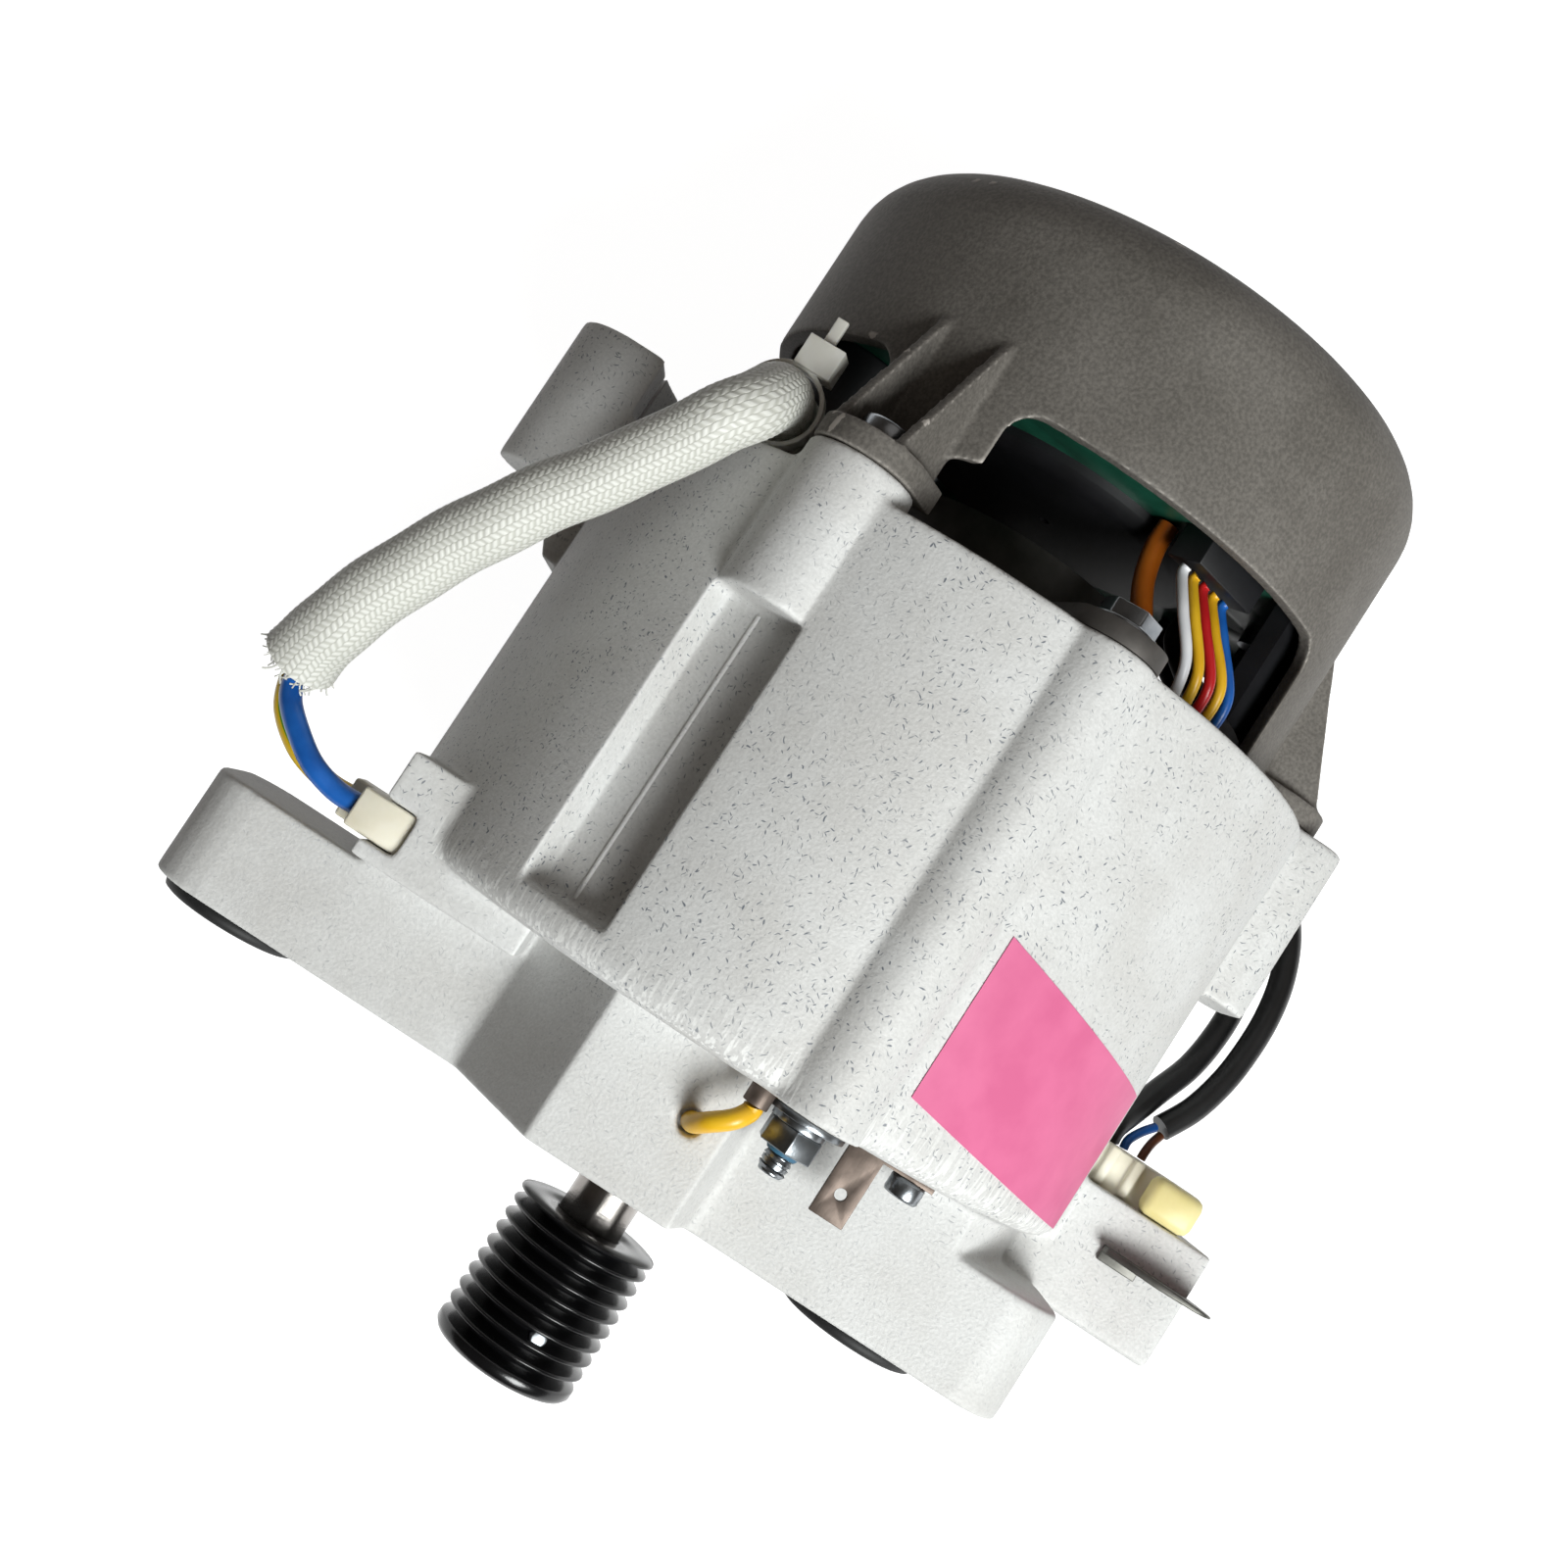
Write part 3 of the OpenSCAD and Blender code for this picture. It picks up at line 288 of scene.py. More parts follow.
def new_object(name, mesh, material):
    """An object at the origin with one material."""
    made = bpy.data.objects.new(name, mesh)
    bpy.context.scene.collection.objects.link(made)
    mesh.materials.clear()
    mesh.materials.append(material)
    return made


def finish_mesh(bm, name, smooth_angle=35):
    """A mesh from a bmesh, with merged doubles, outward normals and smooth faces."""
    bmesh.ops.remove_doubles(bm, verts=bm.verts, dist=1e-6)
    bmesh.ops.recalc_face_normals(bm, faces=bm.faces)
    mesh = bpy.data.meshes.new(name)
    bm.to_mesh(mesh)
    bm.free()
    mesh.shade_smooth()
    mesh.set_sharp_from_angle(angle=math.radians(smooth_angle))
    return mesh


def bridge(bm, low, high):
    """Adds the faces between two rings of points and gives them in order."""
    ends = [(k, (k + 1) % len(low)) for k in range(len(low))]
    return [bm.faces.new((low[k], low[n], high[n], high[k])) for k, n in ends]


def sweep_mesh(name, path, radius, sides, height=None, open_depth=0.0):
    """A round tube along a path with a UV map: turns round it, then metres along it.

    height(around, along) gives a relief above the radius. With open_depth, the first end is an
    open mouth that deep.
    """
    lengths = [0.0]
    for a, b in zip(path, path[1:]):
        lengths.append(lengths[-1] + (b - a).length)
    bm = bmesh.new()
    uv = bm.loops.layers.uv.new("UVMap")
    side = Vector((0.3, 0.5, 0.8))
    rings = []
    for i, point in enumerate(path):
        heading = (path[min(i + 1, len(path) - 1)] - path[max(i - 1, 0)]).normalized()
        side = (side - side.dot(heading) * heading).normalized()
        across = heading.cross(side)
        ring = []
        for k in range(sides):
            angle = 2 * math.pi * k / sides
            reach = radius + (height(k / sides, lengths[i]) if height else 0)
            ring.append(bm.verts.new(
                point + reach * (math.cos(angle) * side + math.sin(angle) * across)))
        rings.append(ring)
    for i, (low, high) in enumerate(zip(rings, rings[1:])):
        for k, face in enumerate(bridge(bm, low, high)):
            runs = (lengths[i], lengths[i], lengths[i + 1], lengths[i + 1])
            for loop, turn, run in zip(face.loops, (k, k + 1, k + 1, k), runs):
                loop[uv].uv = (turn / sides, run)
    if open_depth:
        inward = (path[1] - path[0]).normalized() * open_depth
        lip = [bm.verts.new(path[0] + (v.co - path[0]) * MOUTH_WALL) for v in rings[0]]
        floor = [bm.verts.new(v.co + inward) for v in lip]
        bridge(bm, lip, rings[0])
        bridge(bm, floor, lip)
        bm.faces.new(floor)
    else:
        bm.faces.new(reversed(rings[0]))
    bm.faces.new(rings[-1])
    return finish_mesh(bm, name, 60)


def lathe_mesh(name, profile, segments=96, centre=(0, 0), smooth_angle=35):
    """Turns (station, radius) points round an axis along X through centre in Y and Z."""
    bm = bmesh.new()
    turns = [2 * math.pi * k / segments for k in range(segments)]
    rings = [
        [bm.verts.new((x, centre[0] + r * math.sin(turn), centre[1] + r * math.cos(turn)))
         for turn in turns]
        for x, r in profile]
    for low, high in zip(rings, rings[1:] + rings[:1]):
        bridge(bm, low, high)
    return finish_mesh(bm, name, smooth_angle)


def arc_wall(name, along, across, turns, steps=24):
    """A curved wall round the shaft between two stations, two radii and two angles."""
    bm = bmesh.new()
    corners = [(along[0], across[0]), (along[1], across[0]),
               (along[1], across[1]), (along[0], across[1])]
    rings = []
    for step in range(steps + 1):
        turn = math.radians(turns[0] + (turns[1] - turns[0]) * step / steps)
        rings.append([bm.verts.new((x, reach * math.sin(turn), reach * math.cos(turn)))
                      for x, reach in corners])
    for low, high in zip(rings, rings[1:]):
        bridge(bm, low, high)
    bm.faces.new(rings[0])
    bm.faces.new(rings[-1])
    return finish_mesh(bm, name, 40)


def start_material(name):
    """A new empty material, the function that adds nodes to it, and its coordinates."""
    material = bpy.data.materials.new(name)
    material.use_nodes = True
    tree = material.node_tree
    tree.nodes.clear()
    add = partial(add_node, tree)
    return material, add, add("ShaderNodeTexCoord")


def coat(add, colour, inputs, relief=None):
    """Ends a material: colour, shader values, and relief as height, depth in metres, strength."""
    links = {"Base Color": colour}
    if relief:
        height, depth, strength = relief
        links["Normal"] = add("ShaderNodeBump", {"Strength": strength, "Distance": depth},
                              {"Height": height})
    shader = add("ShaderNodeBsdfPrincipled", inputs, links)
    add("ShaderNodeOutputMaterial", links={"Surface": shader})


def mottled(add, place, colours, size):
    """A soft change between two hex colours over patches of that size in metres."""
    patch = add("ShaderNodeTexNoise", {"Scale": 1 / size, "Detail": 4.0}, {"Vector": place})
    ramp = add("ShaderNodeValToRGB", links={"Fac": patch})
    for element, spot, colour in zip(ramp.color_ramp.elements, (0.35, 0.65), colours):
        element.position = spot
        element.color = linear(colour)
    return ramp


def fleck_mask(add, place):
    """Short bent hairlines, about 1 by 0.2 mm, dense on the body and few on the flange."""
    bend = add("ShaderNodeTexNoise", {"Scale": 1 / (1.6 * MM), "Detail": 1.0}, {"Vector": place})
    bent = add("ShaderNodeVectorMath", {1: FLECK_BEND}, {0: bend.outputs["Color"], 2: place},
               operation="MULTIPLY_ADD")
    patch = add("ShaderNodeTexNoise", {"Scale": 1 / (16 * MM), "Detail": 2.0}, {"Vector": place})
    thick = add("ShaderNodeMapRange", {"From Min": 0.36, "From Max": 0.58, "To Min": 0.4},
                {"Value": patch})
    split = add("ShaderNodeSeparateXYZ", links={"Vector": place})
    behind = add("ShaderNodeMapRange", {"From Min": FLECK_START, "From Max": FLECK_FULL,
                                        "To Min": 0.3}, {"Value": split})
    dense = add("ShaderNodeMath", links={0: thick, 1: behind}, operation="MULTIPLY")
    marks = []
    for turn in FLECK_TURNS:
        cells = add("ShaderNodeMapping", {"Rotation": (0.2, -0.15, math.radians(turn)),
                                          "Scale": FLECK_CELL, "Location": (turn * MM, 0, 0)},
                    {"Vector": bent}, vector_type="TEXTURE")
        spots = add("ShaderNodeTexVoronoi", {"Scale": 1.0, "Randomness": 1.0}, {"Vector": cells},
                    feature="F1")
        mark = add("ShaderNodeMapRange", {"From Min": 0.11, "From Max": 0.18, "To Min": 1.0,
                                          "To Max": 0.0}, {"Value": spots})
        shade = add("ShaderNodeMapRange", {"From Min": 0.2, "From Max": 0.6, "To Min": 0.25},
                    {"Value": spots.outputs["Color"]})
        marks.append(add("ShaderNodeMath", links={0: mark, 1: shade}, operation="MULTIPLY"))
    total = marks[0]
    for mark in marks[1:]:
        total = add("ShaderNodeMath", links={0: total, 1: mark}, operation="MAXIMUM")
    return add("ShaderNodeMath", links={0: total, 1: dense}, operation="MULTIPLY")


def edge_highlight(add, ground, highlight_colour, share):
    """Painted highlight: lightens the outer edges of a casting, as if they caught the light."""
    bend = add("ShaderNodeNewGeometry")
    edge = add("ShaderNodeMapRange", {"From Min": 0.528, "From Max": 0.585, "To Max": share},
               {"Value": bend.outputs["Pointiness"]})
    highlighted = add("ShaderNodeMix", {7: linear(highlight_colour)}, {0: edge, 6: ground}, data_type="RGBA")
    return highlighted.outputs[2]


def trim_lines(add, place):
    """Fine parallel lines that fade out along the body from its front edge."""
    lines = add("ShaderNodeMapping", {"Scale": TRIM_LINE}, {"Vector": place}, vector_type="TEXTURE")
    fine = add("ShaderNodeTexNoise", {"Scale": 1.0, "Detail": 1.0}, {"Vector": lines})
    line = add("ShaderNodeMapRange", {"From Min": 0.5, "From Max": 0.6, "To Max": 0.75},
               {"Value": fine})
    split = add("ShaderNodeSeparateXYZ", links={"Vector": place})
    fade = add("ShaderNodeMapRange", {"From Min": TRIM_BAND[0], "From Max": TRIM_BAND[1],
                                      "To Min": 1.0, "To Max": 0.0}, {"Value": split})
    behind = add("ShaderNodeMath", {1: TRIM_BAND[0]}, {0: split}, operation="GREATER_THAN")
    across = add("ShaderNodeVectorMath", {1: (0, 1, 1)}, {0: place}, operation="MULTIPLY")
    out = add("ShaderNodeVectorMath", links={0: across}, operation="LENGTH")
    on_round = add("ShaderNodeMath", {1: TRIM_RADIUS}, {0: out.outputs["Value"]},
                   operation="LESS_THAN")
    for limit in (fade, behind, on_round):
        line = add("ShaderNodeMath", links={0: line, 1: limit}, operation="MULTIPLY")
    return line


def blasted(add, place, colours, patch, grit, detail, levels, tones):
    """A mottled ground under a blasted grain that sets its brightness; the ground and the grain."""
    grain = add("ShaderNodeTexNoise", {"Scale": 1 / grit, "Detail": detail}, {"Vector": place})
    speck = add("ShaderNodeMapRange", {"From Min": levels[0], "From Max": levels[1],
                                       "To Min": tones[0], "To Max": tones[1]}, {"Value": grain})
    toned = add("ShaderNodeVectorMath", operation="SCALE",
                links={0: mottled(add, place, colours, patch), "Scale": speck})
    return toned, grain


def cast_aluminium():
    """Shot-blasted die casting: pale, matt and grainy, with dark hairlines left by the grit."""
    material, add, place = start_material("die-cast aluminium, shot-blasted")
    spot = place.outputs["Object"]
    ground, grain = blasted(add, spot, ("cac9c7", "d3d3d2"), 12 * MM, 0.45 * MM, 3.0, (0.38, 0.66),
                            (0.94, 1.04))
    for mask, colour in ((fleck_mask, "70757d"), (trim_lines, "f0f0ee")):
        ground = add("ShaderNodeMix", {7: linear(colour)}, {0: mask(add, spot), 6: ground},
                     data_type="RGBA").outputs[2]
    # Painted highlight along the casting's outer edges, in a pale grey.
    coat(add, edge_highlight(add, ground, "e6e6e4", 0.6),
         {"Metallic": 0.1, "Specular IOR Level": 0.25, "Roughness": 0.6}, (grain, 0.12 * MM, 0.5))
    return material


def cover_aluminium():
    """Dark die casting with a fine even blast: warm grey, dull, with a faint sparkle."""
    material, add, place = start_material("die-cast aluminium, dark fine-blasted")
    spot = place.outputs["Object"]
    ground, grain = blasted(add, spot, ("64605b", "716d68"), 14 * MM, 0.5 * MM, 2.0, (0.35, 0.68),
                            (0.80, 1.20))
    # Painted highlight along the cover's outer edges, in a pale warm grey.
    coat(add, edge_highlight(add, ground, "c6bfb8", 0.85),
         {"Metallic": 0.1, "Specular IOR Level": 0.2, "Roughness": 0.62}, (grain, 0.10 * MM, 0.5))
    return material


# Scales of the fine lines on a metal along X, Y and Z, per metre
EVEN = (1 / (0.3 * MM),) * 3
TURNED = (1 / (0.12 * MM), 1 / (4 * MM), 1 / (4 * MM))
DRAWN = (1 / (5 * MM), 1 / (0.2 * MM), 1 / (0.2 * MM))
LAYERED = (1 / (0.5 * MM), 1 / (20 * MM), 1 / (20 * MM))


def metal(name, colours, roughness, streak=EVEN, metallic=1.0, patch=4 * MM):
    """A bare or plated metal: two tones in patches, with fine turning or drawing lines."""
    material, add, place = start_material(name)
    spot = place.outputs["Object"]
    lines = add("ShaderNodeMapping", {"Scale": streak}, {"Vector": spot})
    fine = add("ShaderNodeTexNoise", {"Scale": 1.0, "Detail": 2.0}, {"Vector": lines})
    coat(add, mottled(add, spot, colours, patch), {"Metallic": metallic, "Roughness": roughness},
         (fine, 0.03 * MM, 0.35))
    return material


def moulding(name, colours, roughness, scatter=0.0, grit=0.25 * MM, depth=0.03 * MM):
    """A moulded or extruded polymer: nearly even colour over a fine moulded grain."""
    material, add, place = start_material(name)
    spot = place.outputs["Object"]
    values = {"Roughness": roughness, "IOR": 1.5}
    if scatter:
        values["Subsurface Weight"] = scatter
        values["Subsurface Radius"] = (1.2 * MM, 1.0 * MM, 0.7 * MM)
    fine = add("ShaderNodeTexNoise", {"Scale": 1 / grit, "Detail": 2.0}, {"Vector": spot})
    coat(add, mottled(add, spot, colours, 6 * MM), values, (fine, depth, 0.4))
    return material


def striped_lead():
    """Extruded PVC of an earth lead: yellow with a green stripe along it."""
    material, add, place = start_material("PVC, extruded green and yellow")
    split = add("ShaderNodeSeparateXYZ", links={"Vector": place.outputs["UV"]})
    wave = add("ShaderNodeMath", {1: 2.0}, {0: split}, operation="MULTIPLY")
    part = add("ShaderNodeMath", links={0: wave}, operation="FRACT")
    band = add("ShaderNodeMath", {1: 0.78}, {0: part}, operation="GREATER_THAN")
    colour = add("ShaderNodeMix", {6: linear("d9b21c"), 7: linear("4f8a2c")}, {0: band},
                 data_type="RGBA")
    coat(add, colour.outputs[2], {"Roughness": 0.38})
    return material


def braided_glass():
    """Braided glass sleeving: rows of short slanted cream yarns, each row half a yarn on, with
    painted shade in the grooves between them.
    """
    material, add, place = start_material("glass yarn, braided and coated")
    split = add("ShaderNodeSeparateXYZ", links={"Vector": place.outputs["UV"]})
    rows = add("ShaderNodeMath", {1: BRAID_ROWS}, {0: split}, operation="MULTIPLY")
    fold = add("ShaderNodeMath", {1: 1.0}, {0: rows}, operation="PINGPONG")
    along = add("ShaderNodeMath", {1: 1 / BRAID_PITCH}, {0: split.outputs["Y"]},
                operation="MULTIPLY")
    slant = add("ShaderNodeMath", {1: BRAID_SLANT}, {0: fold, 2: along}, operation="MULTIPLY_ADD")
    row = add("ShaderNodeMath", links={0: rows}, operation="FLOOR")
    shifted = add("ShaderNodeMath", {1: 0.5}, {0: row, 2: slant}, operation="MULTIPLY_ADD")
    turn = add("ShaderNodeMath", {1: 2 * math.pi}, {0: shifted}, operation="MULTIPLY")
    yarn = add("ShaderNodeMath", links={0: turn}, operation="COSINE")
    side = add("ShaderNodeMath", {1: 2.0, 2: -1.0}, {0: fold}, operation="MULTIPLY_ADD")
    groove = add("ShaderNodeMath", {1: 6.0}, {0: side}, operation="POWER")
    height = add("ShaderNodeMath", {1: -1.2}, {0: groove, 2: yarn}, operation="MULTIPLY_ADD")
    # The colour follows the relief: darker in the grooves between yarns and rows, a painted shade.
    tone = add("ShaderNodeMapRange", {"From Min": -1.4, "From Max": 0.6}, {"Value": height})
    colour = add("ShaderNodeMix", {6: linear("b7b7ae"), 7: linear("dadad4")}, {0: tone},
                 data_type="RGBA")
    coat(add, colour.outputs[2], {"Roughness": 0.5}, (tone, 0.12 * MM, 0.6))
    return material


# Metals: name, two tones, roughness, then lines, metallic share and patch where they differ
METALS = {
    "bracket": ("aluminium, plain die-cast", ("4a4744", "5a5653"), 0.6, EVEN, 0.6),
    "zinc": ("steel, bright zinc-plated", ("7f8489", "a2a6aa"), 0.3),
    "shaft": ("steel, cylindrically ground", ("8f8a86", "aaa6a2"), 0.24, TURNED),
    "bearing": ("bearing steel, lapped", ("b4b6ba", "c8cacd"), 0.12),
    "spring": ("spring steel, rolled strip", ("5a5955", "6e6d69"), 0.5),
    "cage": ("brass, pressed", ("a3813f", "b8964f"), 0.35),
    "lamination": ("electrical steel, stacked", ("6b6d70", "7d7f83"), 0.45, LAYERED),
    "copper": ("copper wire, enamelled", ("9a4f1c", "b8652a"), 0.3, DRAWN),
    "tinned": ("brass strip, tinned", ("5c514a", "73665e"), 0.5, DRAWN, 0.7, 2 * MM),
}

# Mouldings and coatings: name, two tones, roughness, then scatter, grit and depth where they differ
MOULDINGS = {
    "coating": ("steel, turned and black-coated", ("0b0b0c", "121214"), 0.22, 0.0, 0.4 * MM,
                0.02 * MM),
    "ferrite": ("ferrite, sintered", ("3a3a3d", "474749"), 0.6),
    "rubber": ("nitrile rubber, moulded", ("111112", "1b1b1c"), 0.62),
    "insulator": ("nylon, moulded natural", ("d8d0b6", "e2dbc4"), 0.5, 0.1),
    "cream": ("nylon, moulded cream", ("dcd5c0", "e8e3d2"), 0.45, 0.15),
    "yellow_cap": ("nylon, moulded pale yellow", ("dccf8e", "e8dca2"), 0.45, 0.15),
    "white": ("nylon, moulded white", ("d6d4cc", "e6e5df"), 0.42, 0.15),
    "board": ("glass-epoxy board, green solder mask", ("123f30", "1c5341"), 0.35, 0.0, 1.5 * MM,
              0.02 * MM),
    "epoxy": ("epoxy, moulded black", ("101012", "18181b"), 0.5),
    "pvc_white": ("PVC, extruded white", ("d9dade", "e8e8ea"), 0.36),
    "pvc_yellow": ("PVC, extruded yellow", ("d9a416", "e3b424"), 0.36),
    "pvc_red": ("PVC, extruded red", ("b0161b", "c21f24"), 0.34),
    "pvc_blue": ("PVC, extruded blue", ("1552a0", "1f64b8"), 0.34),
    "pvc_orange": ("PVC, extruded orange", ("a8540f", "bb651a"), 0.36),
    "pvc_black": ("PVC, extruded black", ("0e0e0f", "171718"), 0.4),
    "pvc_brown": ("PVC, extruded brown", ("5a3018", "6b3a1f"), 0.4),
    "paper": ("paper, coated pink", ("cc5f8a", "d46993"), 0.55, 0.0, 0.6 * MM, 0.01 * MM),
    "thread_lock": ("thread-locking resin, dried blue", ("24506b", "35647f"), 0.5),
}


def make_materials():
    """Every finish of the motor, by the short name that the operators use."""
    made = {"cast": cast_aluminium(), "cover": cover_aluminium(), "pvc_earth": striped_lead(),
            "braid": braided_glass()}
    made.update({key: metal(*values) for key, values in METALS.items()})
    made.update({key: moulding(*values) for key, values in MOULDINGS.items()})
    return made


def length_property(name, default, description):
    """A length in metres for the panel."""
    return FloatProperty(name=name, description=description, default=default,
                         subtype="DISTANCE", unit="LENGTH", precision=5)


class MotorSizes(bpy.types.PropertyGroup):
    """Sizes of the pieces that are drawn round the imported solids."""

    cast_grain: length_property(
        "Casting grain", 0.5 * MM, "Cell of the skin that softens the castings")
    cast_passes: IntProperty(
        name="Casting passes", description="Smoothing passes that round the cast edges", default=7)
    rib_pitch: length_property(
        "Groove pitch", 2.34 * MM, "Distance from one belt groove to the next")
    rib_count: IntProperty(name="Grooves", description="Number of belt grooves", default=9)
    groove_depth: length_property("Groove depth", 2.1 * MM, "Depth of a belt groove")
    rim_width: length_property("Rim width", 2 * MM, "Plain rim at the free end of the pulley")
    nose_diameter: length_property("Nose diameter", 10 * MM, "Shaft diameter in the pulley")
    sleeve_diameter: length_property("Sleeve diameter", 9.8 * MM, "Outside of the braided sleeve")
    lead_diameter: length_property("Lead diameter", 3 * MM, "Outside of an insulated lead")
    cable_diameter: length_property("Cable diameter", 3.9 * MM, "Outside of a black cable")
    core_diameter: length_property("Core diameter", 1.4 * MM, "Outside of a cable core")
    signal_diameter: length_property(
        "Signal wire diameter", 1.5 * MM, "Outside of a signal wire")
    earth_diameter: length_property(
        "Earth wire diameter", 2.6 * MM, "Outside of the short earth wire")
    wire_radius: length_property(
        "Winding wire radius", 0.45 * MM, "Radius of the enamelled wire")




class MotorStage(bpy.types.PropertyGroup):
    """Camera, light and floor."""

    lens: FloatProperty(name="Lens", description="Focal length on a 36 mm sensor", default=43.7)
    key_power: FloatProperty(
        name="Key light", description="Power of the large soft lamp", default=10.5, unit="POWER")
    fill_power: FloatProperty(
        name="Fill light", description="Power of the second soft lamp", default=0.6, unit="POWER")
    rim_power: FloatProperty(
        name="Rim power", description="Power of the weak lamp beyond the cover", default=0.1,
        unit="POWER")
    sky: FloatProperty(name="Sky", description="Strength of the even light all round", default=0.05)
    floor_colour: FloatVectorProperty(
        name="Floor", description="Colour of the floor", default=linear("a8a8a8"), size=4,
        subtype="COLOR", min=0, max=1)


FINISH = {}


def add_piece(name, mesh, finish, nodes=(), body=HOUSING):
    """A finished piece on its body and the solids that it stands for."""
    piece = new_object(name, mesh, FINISH[finish])
    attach(piece, body)
    if nodes:
        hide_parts(*nodes)
    return piece


def paint(finish, *names):
    """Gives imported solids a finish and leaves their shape."""
    for name in names:
        NODES[name].data.materials.clear()
        NODES[name].data.materials.append(FINISH[finish])


def merged_copy(node):
    """The solid's mesh as a closed bmesh."""
    bm = bmesh.new()
    bm.from_mesh(NODES[node].data)
    bmesh.ops.remove_doubles(bm, verts=bm.verts, dist=2e-6)
    return bm


def eased(node, finish, edge, body=HOUSING, reshape=None):
    """A copy of a solid with its sharp edges eased, in place of the solid.

    reshape moves each point first, as a thinner stud or a narrower foot needs.
    """
    bm = merged_copy(node)
    if reshape:
        for vert in bm.verts:
            vert.co = reshape(vert.co)
    bmesh.ops.dissolve_limit(bm, angle_limit=math.radians(0.5), verts=bm.verts, edges=bm.edges)
    sharp = [e for e in bm.edges if e.is_manifold and e.calc_face_angle(0) > math.radians(40)]
    bmesh.ops.bevel(bm, geom=sharp, offset=edge, segments=2, profile=0.5, affect="EDGES",
                    clamp_overlap=True)
    add_piece(node + "_eased", finish_mesh(bm, node, 40), finish, [node], body)


def plain_mesh(host):
    """The mesh that an object's modifiers give; the object itself goes."""
    graph = bpy.context.evaluated_depsgraph_get()
    mesh = bpy.data.meshes.new_from_object(host.evaluated_get(graph))
    bpy.data.objects.remove(host)
    mesh.shade_smooth()
    return mesh


def skinned(node, finish, cell, passes, limit):
    """A casting's solid under a fine even skin, smoothed so that its edges are cast round."""
    name = node + "_cast"
    mesh = bpy.data.meshes.new(name)
    bm = merged_copy(node)
    bm.to_mesh(mesh)
    bm.free()
    raw = new_object(name + "_raw", mesh, FINISH[finish])
    skin = raw.modifiers.new("skin", "REMESH")
    skin.mode = "VOXEL"
    skin.voxel_size = cell
    ease = raw.modifiers.new("ease", "SMOOTH")
    ease.factor = 0.5
    ease.iterations = passes
    graph = bpy.context.evaluated_depsgraph_get()
    count = sum(len(p.vertices) - 2 for p in raw.evaluated_get(graph).data.polygons)
    thin = raw.modifiers.new("thin", "DECIMATE")
    thin.ratio = min(1.0, limit / count)
    add_piece(name, plain_mesh(raw), finish, [node])


def run_wire(node, points, diameter, finish, step=0.6 * MM, sides=32, number=0):
    """A round wire along a route; of several numbered wires the first one replaces the solid."""
    name = f"{node}_run_{number}" if number else node + "_run"
    mesh = sweep_mesh(node, smooth_path(points, step), diameter / 2, sides)
    add_piece(name, mesh, finish, [node] if number < 2 else [])


def grow_tree(name, inputs, build):
    """A Geometry Nodes tree with named inputs; build(add, start) gives its last node."""
    tree = bpy.data.node_groups.new(name, "GeometryNodeTree")
    for label, kind in list(inputs.items()) + [("Material", "Material")]:
        tree.interface.new_socket(label, in_out="INPUT", socket_type="NodeSocket" + kind)
    tree.interface.new_socket("Geometry", in_out="OUTPUT", socket_type="NodeSocketGeometry")
    add = partial(add_node, tree)
    start = add("NodeGroupInput").outputs
    real = add("GeometryNodeRealizeInstances", links={"Geometry": build(add, start)})
    finish = add("GeometryNodeSetMaterial", links={"Geometry": real, "Material": start["Material"]})
    add("NodeGroupOutput", links={"Geometry": finish})
    return tree


def grown(name, tree, values, finish, nodes=(), smooth_angle=40):
    """A piece with the plain mesh of a Geometry Nodes tree with those input values."""
    host = bpy.data.objects.new(name + "_host", bpy.data.meshes.new(name + "_host"))
    bpy.context.scene.collection.objects.link(host)
    modifier = host.modifiers.new("grow", "NODES")
    modifier.node_group = tree
    values = dict(values, Material=FINISH[finish])
    for item in tree.interface.items_tree:
        if item.in_out == "INPUT":
            modifier[item.identifier] = values[item.name]
    mesh = plain_mesh(host)
    mesh.set_sharp_from_angle(angle=math.radians(smooth_angle))
    return add_piece(name, mesh, finish, nodes)


class MOTOR_OT_mix_finishes(bpy.types.Operator):
    """Makes every material of the motor"""

    bl_idname = "motor.mix_finishes"
    bl_label = "Finishes"

    def execute(self, context):
        FINISH.update(make_materials())
        return {"FINISHED"}


